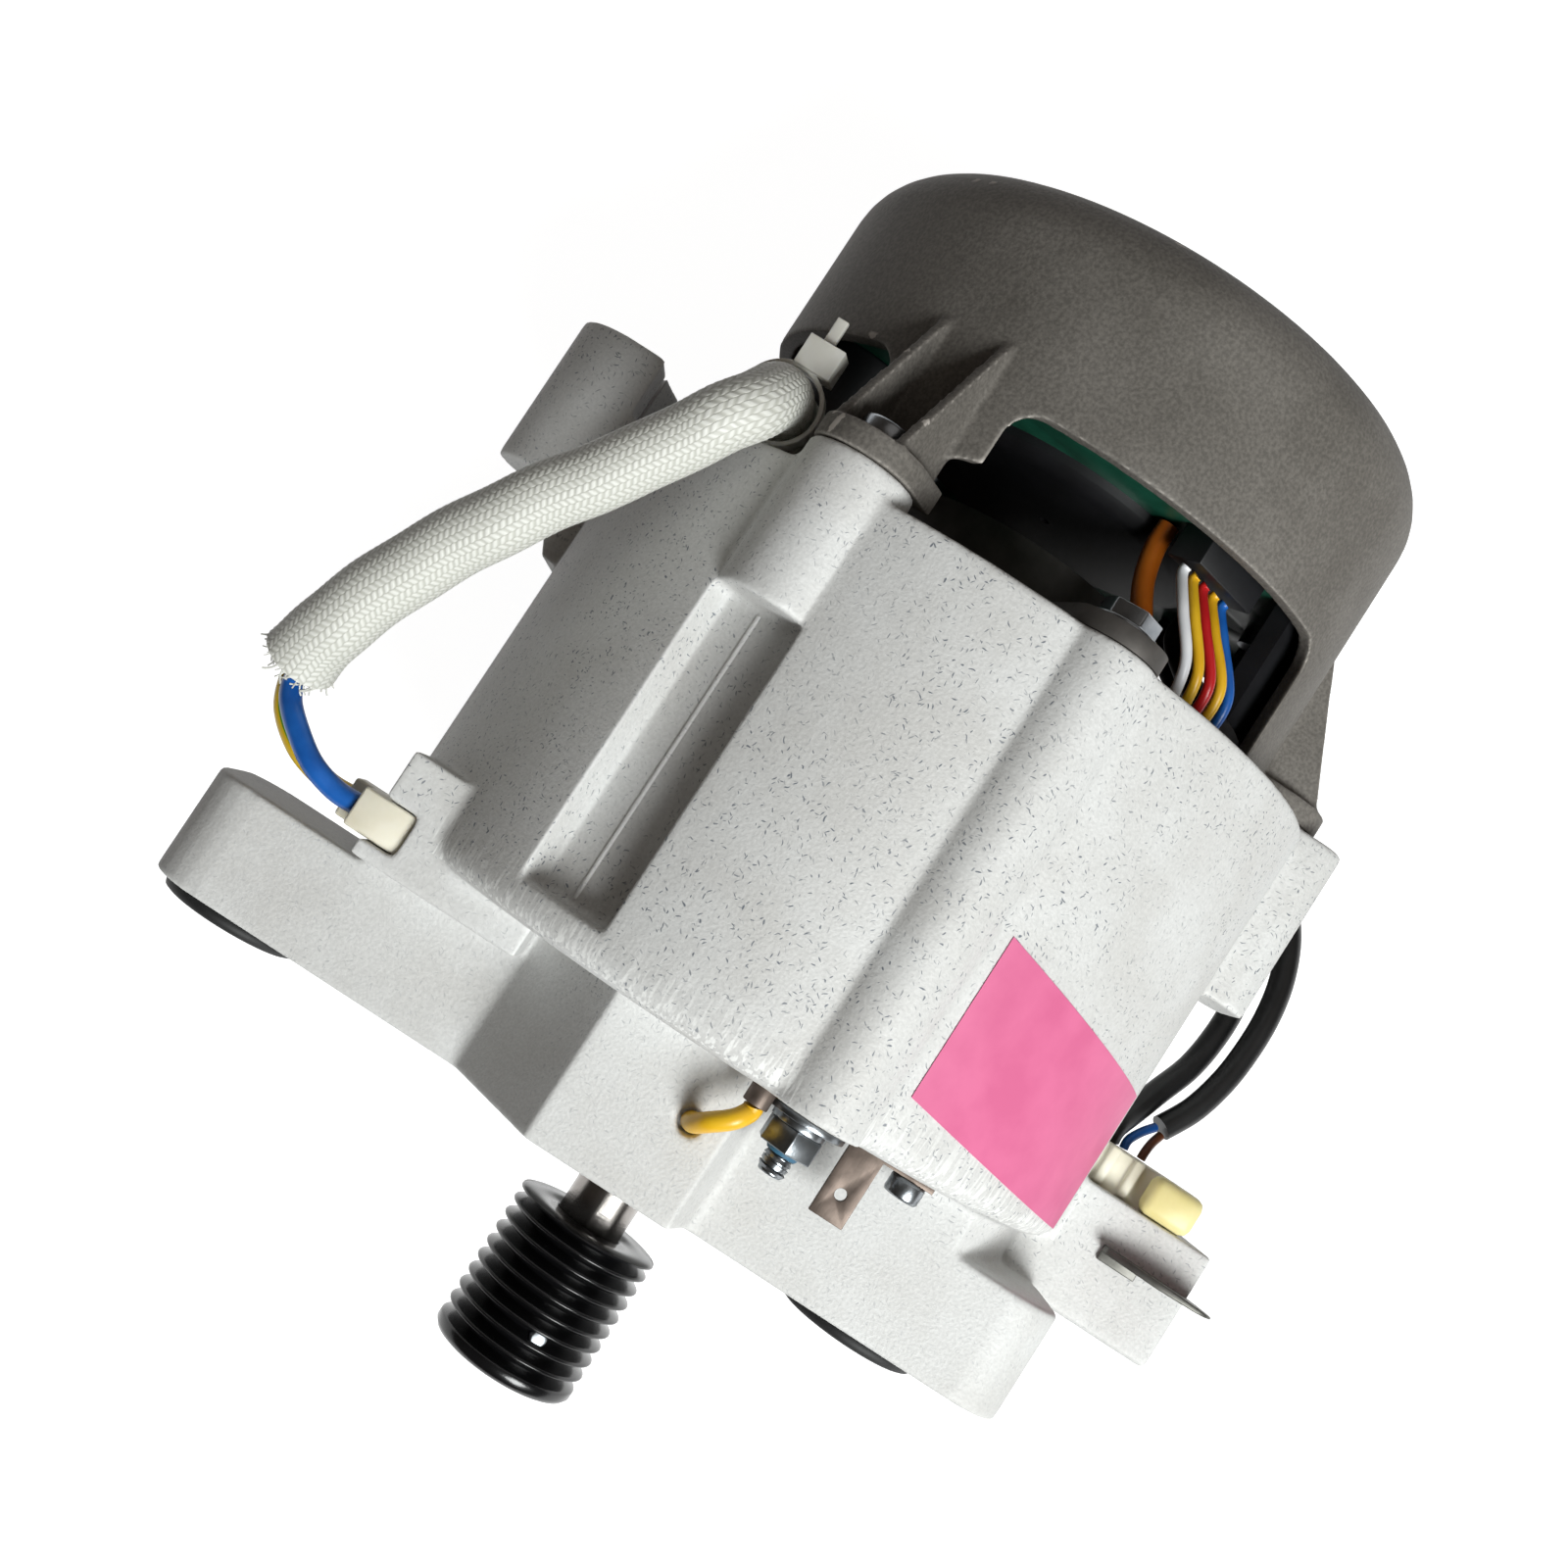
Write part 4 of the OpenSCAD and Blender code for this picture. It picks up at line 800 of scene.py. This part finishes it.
class MOTOR_OT_set_stage(bpy.types.Operator):
    """Sets the camera at the photograph's angle, the soft lamps and the white floor"""

    bl_idname = "motor.set_stage"
    bl_label = "Stage"

    def add_lamp(self, name, power, size, tint, spot, target):
        """A square area lamp at a spot, turned to the target."""
        data = bpy.data.lights.new(name, "AREA")
        data.energy = power
        data.size = size
        data.color = tint
        lamp = bpy.data.objects.new(name, data)
        lamp.location = spot
        lamp.rotation_euler = (spot - target).to_track_quat("Z", "Y").to_euler()
        bpy.context.scene.collection.objects.link(lamp)
        return lamp

    def floor_material(self, colour):
        """Floor that takes a shadow and is lifted to white where it is seen beside the motor."""
        material, add, place = start_material("paper sweep, matt white")
        shift = add("ShaderNodeVectorMath", {1: FLOOR_SHADE_CENTRE}, {0: place.outputs["Object"]},
                    operation="SUBTRACT")
        share = add("ShaderNodeVectorMath", {1: FLOOR_SHADE_REACH}, {0: shift}, operation="DIVIDE")
        flat = add("ShaderNodeVectorMath", {1: (1, 1, 0)}, {0: share}, operation="MULTIPLY")
        away = add("ShaderNodeVectorMath", links={0: flat}, operation="LENGTH")
        clear = add("ShaderNodeMapRange", {"From Min": 0.3, "To Max": FLOOR_LIFT},
                    {"Value": away.outputs["Value"]}, interpolation_type="SMOOTHSTEP")
        sight = add("ShaderNodeLightPath").outputs
        mirrored = add("ShaderNodeMath", operation="MAXIMUM",
                       links={0: sight["Is Glossy Ray"], 1: sight["Is Transmission Ray"]})
        seen = add("ShaderNodeMath", operation="MAXIMUM",
                   links={0: sight["Is Camera Ray"], 1: mirrored})
        lift = add("ShaderNodeMath", links={0: seen, 1: clear}, operation="MULTIPLY")
        matt = add("ShaderNodeBsdfDiffuse", {"Color": colour})
        glow = add("ShaderNodeEmission", {"Color": (1, 1, 1, 1)}, {"Strength": lift})
        both = add("ShaderNodeAddShader", links={0: matt, 1: glow})
        add("ShaderNodeOutputMaterial", links={"Surface": both})
        return material

    def light_world(self, scene, strength):
        """A weak warm sky that the camera sees as white."""
        scene.world = bpy.data.worlds.new("studio")
        scene.world.use_nodes = True
        scene.world.node_tree.nodes.clear()
        add = partial(add_node, scene.world.node_tree)
        sky = add("ShaderNodeBackground", {"Color": SKY_TINT, "Strength": strength})
        white = add("ShaderNodeBackground", {"Color": (1, 1, 1, 1), "Strength": 1.0})
        sight = add("ShaderNodeLightPath")
        shown = add("ShaderNodeMixShader", links={0: sight.outputs["Is Camera Ray"], 1: sky,
                                                  2: white})
        add("ShaderNodeOutputWorld", links={"Surface": shown})

    def execute(self, context):
        stage = context.scene.motor_stage
        target = Vector(CAMERA_TARGET)
        eye = Vector(CAMERA_PLACE)
        back = (eye - target).normalized()
        up = Vector(CAMERA_UP)
        up = (up - up.dot(back) * back).normalized()
        axes = Matrix((up.cross(back), up, back)).transposed()
        data = bpy.data.cameras.new("camera")
        data.lens = stage.lens
        data.sensor_width = 36
        data.clip_start = 0.01
        camera = bpy.data.objects.new("camera", data)
        camera.matrix_world = Matrix.Translation(eye) @ axes.to_4x4()
        context.scene.collection.objects.link(camera)
        context.scene.camera = camera
        key, fill, rim = [
            self.add_lamp(name, getattr(stage, name + "_power"), size, tint,
                          target + axes @ Vector(place), target)
            for name, (size, tint, place) in LAMPS.items()]
        bm = bmesh.new()
        bmesh.ops.create_grid(bm, x_segments=1, y_segments=1, size=FLOOR_SIZE)
        bmesh.ops.translate(bm, verts=bm.verts, vec=(0, 0, CAD_BOX[0][2] - FLOOR_GAP))
        mesh = bpy.data.meshes.new("floor")
        bm.to_mesh(mesh)
        bm.free()
        floor = new_object("floor", mesh, self.floor_material(stage.floor_colour))
        self.light_world(context.scene, stage.sky)
        context.scene.view_settings.view_transform = "Standard"
        return {"FINISHED"}


class MOTOR_OT_run_sleeve(bpy.types.Operator):
    """Runs the braided sleeve from its frayed mouth into the cover, with two leads and the tie"""

    bl_idname = "motor.run_sleeve"
    bl_label = "Sleeve and leads"

    def fibre_tree(self):
        """Short loose yarns that stand out round the mouth of the sleeve."""
        def build(add, start):
            ring = add("GeometryNodeMeshCircle", {"Vertices": LOOSE_YARNS},
                       {"Radius": start["Ring"]})
            strand = add("GeometryNodeCurvePrimitiveBezierSegment",
                         {"Resolution": 6, "Start": (0, 0, 0), "Start Handle": (0, 0, 1.2 * MM),
                          "End Handle": (0.5 * MM, 0, 2 * MM),
                          "End": (1.4 * MM, 0.3 * MM, 2.6 * MM)})
            section = add("GeometryNodeCurvePrimitiveCircle",
                          {"Resolution": 5, "Radius": YARN_RADIUS})
            yarn = add("GeometryNodeCurveToMesh", {"Fill Caps": True},
                       {"Curve": strand, "Profile Curve": section})
            lean = add("FunctionNodeRandomValue",
                       {0: (-0.5, -0.5, -math.pi), 1: (0.5, 0.5, math.pi), "Seed": 7},
                       data_type="FLOAT_VECTOR")
            size = add("FunctionNodeRandomValue", {2: 0.35, 3: 1.0, "Seed": 11}, data_type="FLOAT")
            tuft = add("GeometryNodeInstanceOnPoints",
                       links={"Points": ring, "Instance": yarn, "Rotation": lean,
                              "Scale": size.outputs[1]})
            return add("GeometryNodeTransform",
                       links={"Geometry": tuft, "Translation": start["Place"],
                              "Rotation": start["Turn"]})

        return grow_tree("frayed yarns", {"Ring": "Float", "Place": "Vector", "Turn": "Vector"},
                         build)

    def execute(self, context):
        sizes = context.scene.motor_sizes
        radius = sizes.sleeve_diameter / 2

        def braid(around, along):
            fold = 1 - abs(BRAID_ROWS * around % 2 - 1)
            shift = 0.5 * int(BRAID_ROWS * around)
            yarn = math.cos(2 * math.pi * (along / BRAID_PITCH + BRAID_SLANT * fold + shift))
            flare = MOUTH_FLARE * math.exp(-along / MOUTH_REACH)
            draw_in = DRAW_IN * min(1.0, along / DRAW_LENGTH)
            return BRAID_RELIEF * (yarn - 1) + flare - draw_in

        path = smooth_path(SLEEVE_ROUTE, 0.3 * MM)
        sleeve = add_piece("braided_sleeve_woven", sweep_mesh(
            "sleeve", path, radius, 160, braid, MOUTH_DEPTH), "braid",
            ["braided_sleeve"])
        heading = path[0] - path[2]
        fibres = grown("sleeve_frayed_yarns", self.fibre_tree(), {
            "Ring": 0.94 * radius, "Place": path[0] - heading.normalized() * YARN_ROOT,
            "Turn": heading.to_track_quat("Z", "Y").to_euler()}, "braid")
        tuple(path[0])
        path_length(path)
        run_wire("blue_lead", BLUE_LEAD_ROUTE, sizes.lead_diameter, "pvc_blue")
        run_wire("earth_lead", EARTH_LEAD_ROUTE, sizes.lead_diameter, "pvc_earth")
        eased("cable_tie", "white", 0.25 * MM)
        return {"FINISHED"}


class MOTOR_OT_run_cables(bpy.types.Operator):
    """Runs the two black cables from the connector into the cover, with their bare cores"""

    bl_idname = "motor.run_cables"
    bl_label = "Black cables"

    def execute(self, context):
        sizes = context.scene.motor_sizes
        for index, points in enumerate(CABLE_ROUTES):
            path = smooth_path(points, 0.7 * MM)
            nodes = ["black_cables"] if index == 0 else []
            mesh = sweep_mesh("cable", path, sizes.cable_diameter / 2, 40)
            cable = add_piece(f"black_cable_{index + 1}", mesh, "pvc_black", nodes)
            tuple(path[0])
            path_length(path)
        for node, points in CORE_ROUTES.items():
            finish = "pvc_" + node.split("_")[0]
            run_wire(node, points, sizes.core_diameter, finish, 0.3 * MM, 20)
        return {"FINISHED"}


class MOTOR_OT_run_signal_wires(bpy.types.Operator):
    """Runs the thin wires behind the cover window and the orange motor lead"""

    bl_idname = "motor.run_signal_wires"
    bl_label = "Signal wires"

    def execute(self, context):
        sizes = context.scene.motor_sizes
        for node, routes in SIGNAL_ROUTES.items():
            finish = "pvc_" + node.split("_")[0]
            for number, points in enumerate(routes, 1):
                run_wire(node, points, sizes.signal_diameter, finish, 0.4 * MM, 24, number)
        run_wire("orange_lead", ORANGE_ROUTE, sizes.lead_diameter, "pvc_orange")
        return {"FINISHED"}


class MOTOR_OT_cast_housing(bpy.types.Operator):
    """Gives the front housing, the cover and the bracket the soft edges of castings"""

    bl_idname = "motor.cast_housing"
    bl_label = "Castings"

    def execute(self, context):
        sizes = context.scene.motor_sizes
        skinned("front_housing", "cast", sizes.cast_grain, sizes.cast_passes, HOUSING_FACES)
        skinned("rear_cover", "cover", 0.7 * sizes.cast_grain, sizes.cast_passes, COVER_FACES)
        eased("rear_bearing_bracket", "bracket", 0.3 * MM)
        turn = math.radians(CHANNEL_ANGLE)
        line = [(x, CHANNEL_FLOOR * math.sin(turn) + PARTING_SHIFT * math.cos(turn),
                 CHANNEL_FLOOR * math.cos(turn) - PARTING_SHIFT * math.sin(turn))
                for x in CHANNEL_RUN]
        add_piece("front_housing_parting_line", sweep_mesh(
            "parting_line", route(line), PARTING_RADIUS, 12), "cast")
        return {"FINISHED"}


class MOTOR_OT_turn_rotor(bpy.types.Operator):
    """Turns the pulley with its belt grooves and the shaft, and finishes the rotor behind them"""

    bl_idname = "motor.turn_rotor"
    bl_label = "Pulley and rotor"

    def pulley_profile(self, sizes):
        """(station, radius) round the pulley: rim, rounded grooves, rear edge, bore."""
        low, high, rim = PULLEY_LOW.x, PULLEY_HIGH.x, PULLEY_HIGH.y
        bore = sizes.nose_diameter / 2 + 0.02 * MM
        ease = 0.4 * MM
        profile = [(low, bore + ease), (low, rim - 1.2 * MM), (low + 0.3 * MM, rim - 0.5 * MM),
                   (low + 1.0 * MM, rim)]
        for groove in range(sizes.rib_count):
            start = low + sizes.rim_width + groove * sizes.rib_pitch
            for share, depth in GROOVE_SHAPE:
                profile.append((start + share * sizes.rib_pitch, rim - depth * sizes.groove_depth))
        profile += [(high - 0.4 * MM, rim), (high, rim - 0.5 * MM), (high, bore + ease),
                    (high - ease, bore), (low + ease, bore)]
        return profile

    def execute(self, context):
        sizes = context.scene.motor_sizes
        mesh = lathe_mesh("pulley", self.pulley_profile(sizes), 128, smooth_angle=50)
        add_piece("pulley_turned", mesh, "coating", ["pulley"], ROTOR)
        eased("pulley_pin", "zinc", 0.3 * MM, ROTOR)
        eased("shaft", "shaft", 0.4 * MM, ROTOR)
        paint("lamination", "rotor_core")
        paint("ferrite", "rotor_magnets")
        return {"FINISHED"}


class MOTOR_OT_fit_bearings(bpy.types.Operator):
    """Finishes both ball bearings, their shields and the wave washer"""

    bl_idname = "motor.fit_bearings"
    bl_label = "Bearings"

    def execute(self, context):
        for end in ("front", "rear"):
            paint("bearing", *[f"{end}_bearing_{part}" for part in ("outer", "inner", "balls")])
            paint("cage", f"{end}_bearing_cage")
        paint("spring", "bearing_shields", "wave_washer")
        return {"FINISHED"}


class MOTOR_OT_wind_stator(bpy.types.Operator):
    """Winds the twelve coils turn by turn and finishes the stator round them"""

    bl_idname = "motor.wind_stator"
    bl_label = "Stator and windings"

    def coil_tree(self):
        """Flat turns of round wire, stacked outwards in layers and repeated round the axis."""
        def build(add, start):
            turns = []
            for layer in range(COIL_LAYERS):
                shrink = 2 * layer * COIL_WIRE_STEP
                loop = add("GeometryNodeCurvePrimitiveQuadrilateral",
                           {"Width": COIL_LENGTH - shrink, "Height": COIL_WIDTH - shrink})
                corner = add("GeometryNodeFilletCurve",
                             {"Count": 5, "Radius": COIL_CORNER - 0.5 * shrink}, {"Curve": loop},
                             mode="POLY")
                wire = add("GeometryNodeCurvePrimitiveCircle", {"Resolution": 6},
                           {"Radius": start["Wire"]})
                turns.append(add("GeometryNodeCurveToMesh",
                                 links={"Curve": corner, "Profile Curve": wire}))
            joined = add("GeometryNodeJoinGeometry", links={"Geometry": turns})
            stack = add("GeometryNodeMeshLine",
                        {"Count": COIL_TURNS, "Start Location": (COIL_CENTRE, 0, COIL_INNER),
                         "Offset": (0, 0, COIL_WIRE_STEP)})
            coil = add("GeometryNodeInstanceOnPoints", links={"Points": stack, "Instance": joined})
            whole = add("GeometryNodeRealizeInstances", links={"Geometry": coil})
            axis = add("GeometryNodeMeshLine", {"Count": COIL_COUNT, "Start Location": (0, 0, 0),
                                                "Offset": (0, 0, 0)})
            index = add("GeometryNodeInputIndex")
            angle = add("ShaderNodeMath", {1: -2 * math.pi / COIL_COUNT}, {0: index},
                        operation="MULTIPLY")
            turn = add("ShaderNodeCombineXYZ", links={"X": angle})
            return add("GeometryNodeInstanceOnPoints",
                       links={"Points": axis, "Instance": whole, "Rotation": turn})

        return grow_tree("coil turns", {"Wire": "Float"}, build)

    def execute(self, context):
        grown("stator_coils_wound", self.coil_tree(), {
            "Wire": context.scene.motor_sizes.wire_radius}, "copper",
            ["stator_coils"], 60)
        paint("lamination", "stator_core")
        paint("insulator", "slot_insulators")
        return {"FINISHED"}


class MOTOR_OT_fit_board(bpy.types.Operator):
    """Finishes the driver board behind the window, its parts and the sensor board, and adds a black
    disc and a black wall as painted shade
    """

    bl_idname = "motor.fit_board"
    bl_label = "Driver board"

    def execute(self, context):
        eased("driver_board", "board", 0.1 * MM)
        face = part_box("driver_board")[0].x
        # A black disc on the middle of the board: painted shade.
        potting = [(face - share * SHADE_DISC_DEPTH, reach) for share, reach in SHADE_DISC_SHAPE]
        add_piece("driver_board_potting", lathe_mesh("potting", potting), "epoxy")
        # A black wall beside the cable window: painted shade that keeps the view in dark.
        skirt = arc_wall("skirt", (face - SHADE_WALL_DEPTH, face), SHADE_WALL_RADII, SHADE_WALL_TURNS)
        add_piece("driver_board_skirt", skirt, "epoxy")
        paint("board", "hall_board")
        eased("board_capacitors", "epoxy", 0.5 * MM)
        eased("board_connector", "epoxy", 0.2 * MM)
        eased("power_module", "epoxy", 0.3 * MM)
        paint("zinc", "board_screws")
        return {"FINISHED"}


class MOTOR_OT_fit_screws(bpy.types.Operator):
    """Finishes the cover screws and the flanged bracket screws"""

    bl_idname = "motor.fit_screws"
    bl_label = "Screws"

    def execute(self, context):
        eased("cover_screws", "zinc", 0.5 * MM)
        eased("bracket_screws", "zinc", 0.25 * MM)
        return {"FINISHED"}


class MOTOR_OT_fit_bushes(bpy.types.Operator):
    """Rounds the lips of the rubber bushes and finishes their steel inserts"""

    bl_idname = "motor.fit_bushes"
    bl_label = "Bushes"

    def execute(self, context):
        eased("bush_rubbers", "rubber", 0.8 * MM)
        eased("bush_inserts", "zinc", 0.3 * MM)
        return {"FINISHED"}


class MOTOR_OT_fit_earth(bpy.types.Operator):
    """Fits the earth stud with its thread, nut, washers, terminal, wire, tab and screw"""

    bl_idname = "motor.fit_earth"
    bl_label = "Earth stud"

    def thread_tree(self):
        """One helical ridge round an axis along X."""
        def build(add, start):
            helix = add("GeometryNodeCurveSpiral", {"Resolution": 24},
                        {"Rotations": start["Turns"], "Start Radius": start["Radius"],
                         "End Radius": start["Radius"], "Height": start["Length"]})
            ridge = add("GeometryNodeCurvePrimitiveCircle", {"Resolution": 4},
                        {"Radius": start["Ridge"]})
            thread = add("GeometryNodeCurveToMesh", {"Fill Caps": True},
                         {"Curve": helix, "Profile Curve": ridge})
            return add("GeometryNodeTransform", {"Rotation": (0, math.pi / 2, 0)},
                       {"Geometry": thread, "Translation": start["Place"]})

        return grow_tree("helical thread", {
            "Turns": "Float", "Radius": "Float", "Length": "Float", "Ridge": "Float",
            "Place": "Vector"}, build)

    def execute(self, context):
        low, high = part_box("earth_stud")
        nut_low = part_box("earth_nut")[0].x
        centre = (low + high) / 2
        reach = high.y - centre.y
        eased("earth_stud", "zinc", 0.3 * MM, reshape=lambda spot: Vector((
            spot.x, centre.y + STUD_CORE * (spot.y - centre.y),
            centre.z + STUD_CORE * (spot.z - centre.z))))
        length = nut_low - low.x - STUD_POINT
        grown("earth_stud_thread", self.thread_tree(), {
            "Turns": length / STUD_PITCH, "Radius": STUD_CORE * reach, "Length": length,
            "Ridge": (1 - STUD_CORE) * reach,
            "Place": Vector((low.x + STUD_POINT, centre.y, centre.z))},
            "zinc", smooth_angle=60)
        bead = [(nut_low + along, reach + out) for along, out in BEAD_SHAPE]
        add_piece("earth_stud_thread_lock", lathe_mesh(
            "thread_lock", bead, 48, (centre.y, centre.z)), "thread_lock")
        eased("earth_nut", "zinc", 0.35 * MM)
        eased("earth_washers", "zinc", 0.12 * MM)
        eased("ring_terminal", "tinned", 0.15 * MM)
        run_wire("earth_wire", EARTH_WIRE_ROUTE, context.scene.motor_sizes.earth_diameter,
                 "pvc_yellow", 0.4 * MM)
        eased("earth_tab", "tinned", 0.12 * MM)
        eased("tab_screw", "zinc", 0.4 * MM)
        return {"FINISHED"}


class MOTOR_OT_fit_connectors(bpy.types.Operator):
    """Finishes the terminal block, the cable connector with its cap, and the metal clip"""

    bl_idname = "motor.fit_connectors"
    bl_label = "Connectors"

    def execute(self, context):
        eased("terminal_block", "cream", 0.4 * MM)
        eased("cable_connector", "cream", 0.4 * MM)
        eased("connector_cap", "yellow_cap", 1.3 * MM)
        low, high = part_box("box_clip")
        middle = high.x - CLIP_BLADE / 2

        def folded(spot):
            reach = min(1.0, (spot.y - low.y) / CLIP_TAPER)
            across = max(spot.x, high.x - CLIP_FOOT) - middle
            return Vector((middle + across * (0.3 + 0.7 * reach), spot.y, spot.z))

        eased("box_clip", "spring", 0.2 * MM, reshape=folded)
        return {"FINISHED"}


class MOTOR_OT_stick_label(bpy.types.Operator):
    """Finishes the blank rating label"""

    bl_idname = "motor.stick_label"
    bl_label = "Label"

    def execute(self, context):
        paint("paper", "rating_label")
        return {"FINISHED"}


class MOTOR_PT_panel(bpy.types.Panel):
    """Sizes, stage and build steps of the motor"""

    bl_label = "Washing machine motor"
    bl_idname = "MOTOR_PT_panel"
    bl_space_type = "VIEW_3D"
    bl_region_type = "UI"
    bl_category = "Motor"

    def draw(self, context):
        for group in (context.scene.motor_sizes, context.scene.motor_stage):
            box = self.layout.box()
            for name in group.bl_rna.properties.keys():
                if name not in ("rna_type", "name"):
                    box.prop(group, name)
        for step in STEPS:
            self.layout.operator(step.bl_idname)


STEPS = (
    MOTOR_OT_set_stage, MOTOR_OT_mix_finishes, MOTOR_OT_run_sleeve, MOTOR_OT_run_cables,
    MOTOR_OT_run_signal_wires, MOTOR_OT_cast_housing, MOTOR_OT_turn_rotor, MOTOR_OT_fit_bearings,
    MOTOR_OT_wind_stator, MOTOR_OT_fit_board, MOTOR_OT_fit_screws, MOTOR_OT_fit_bushes,
    MOTOR_OT_fit_earth, MOTOR_OT_fit_connectors, MOTOR_OT_stick_label)
CLASSES = (MotorSizes, MotorStage) + STEPS + (MOTOR_PT_panel,)


def register():
    for each in CLASSES:
        bpy.utils.register_class(each)
    bpy.types.Scene.motor_sizes = PointerProperty(type=MotorSizes)
    bpy.types.Scene.motor_stage = PointerProperty(type=MotorStage)


def unregister():
    del bpy.types.Scene.motor_stage
    del bpy.types.Scene.motor_sizes
    for each in reversed(CLASSES):
        bpy.utils.unregister_class(each)


def main():
    register()
    for step in STEPS:
        group, name = step.bl_idname.split(".")
        getattr(getattr(bpy.ops, group), name)()


if __name__ == "__main__":
    main()
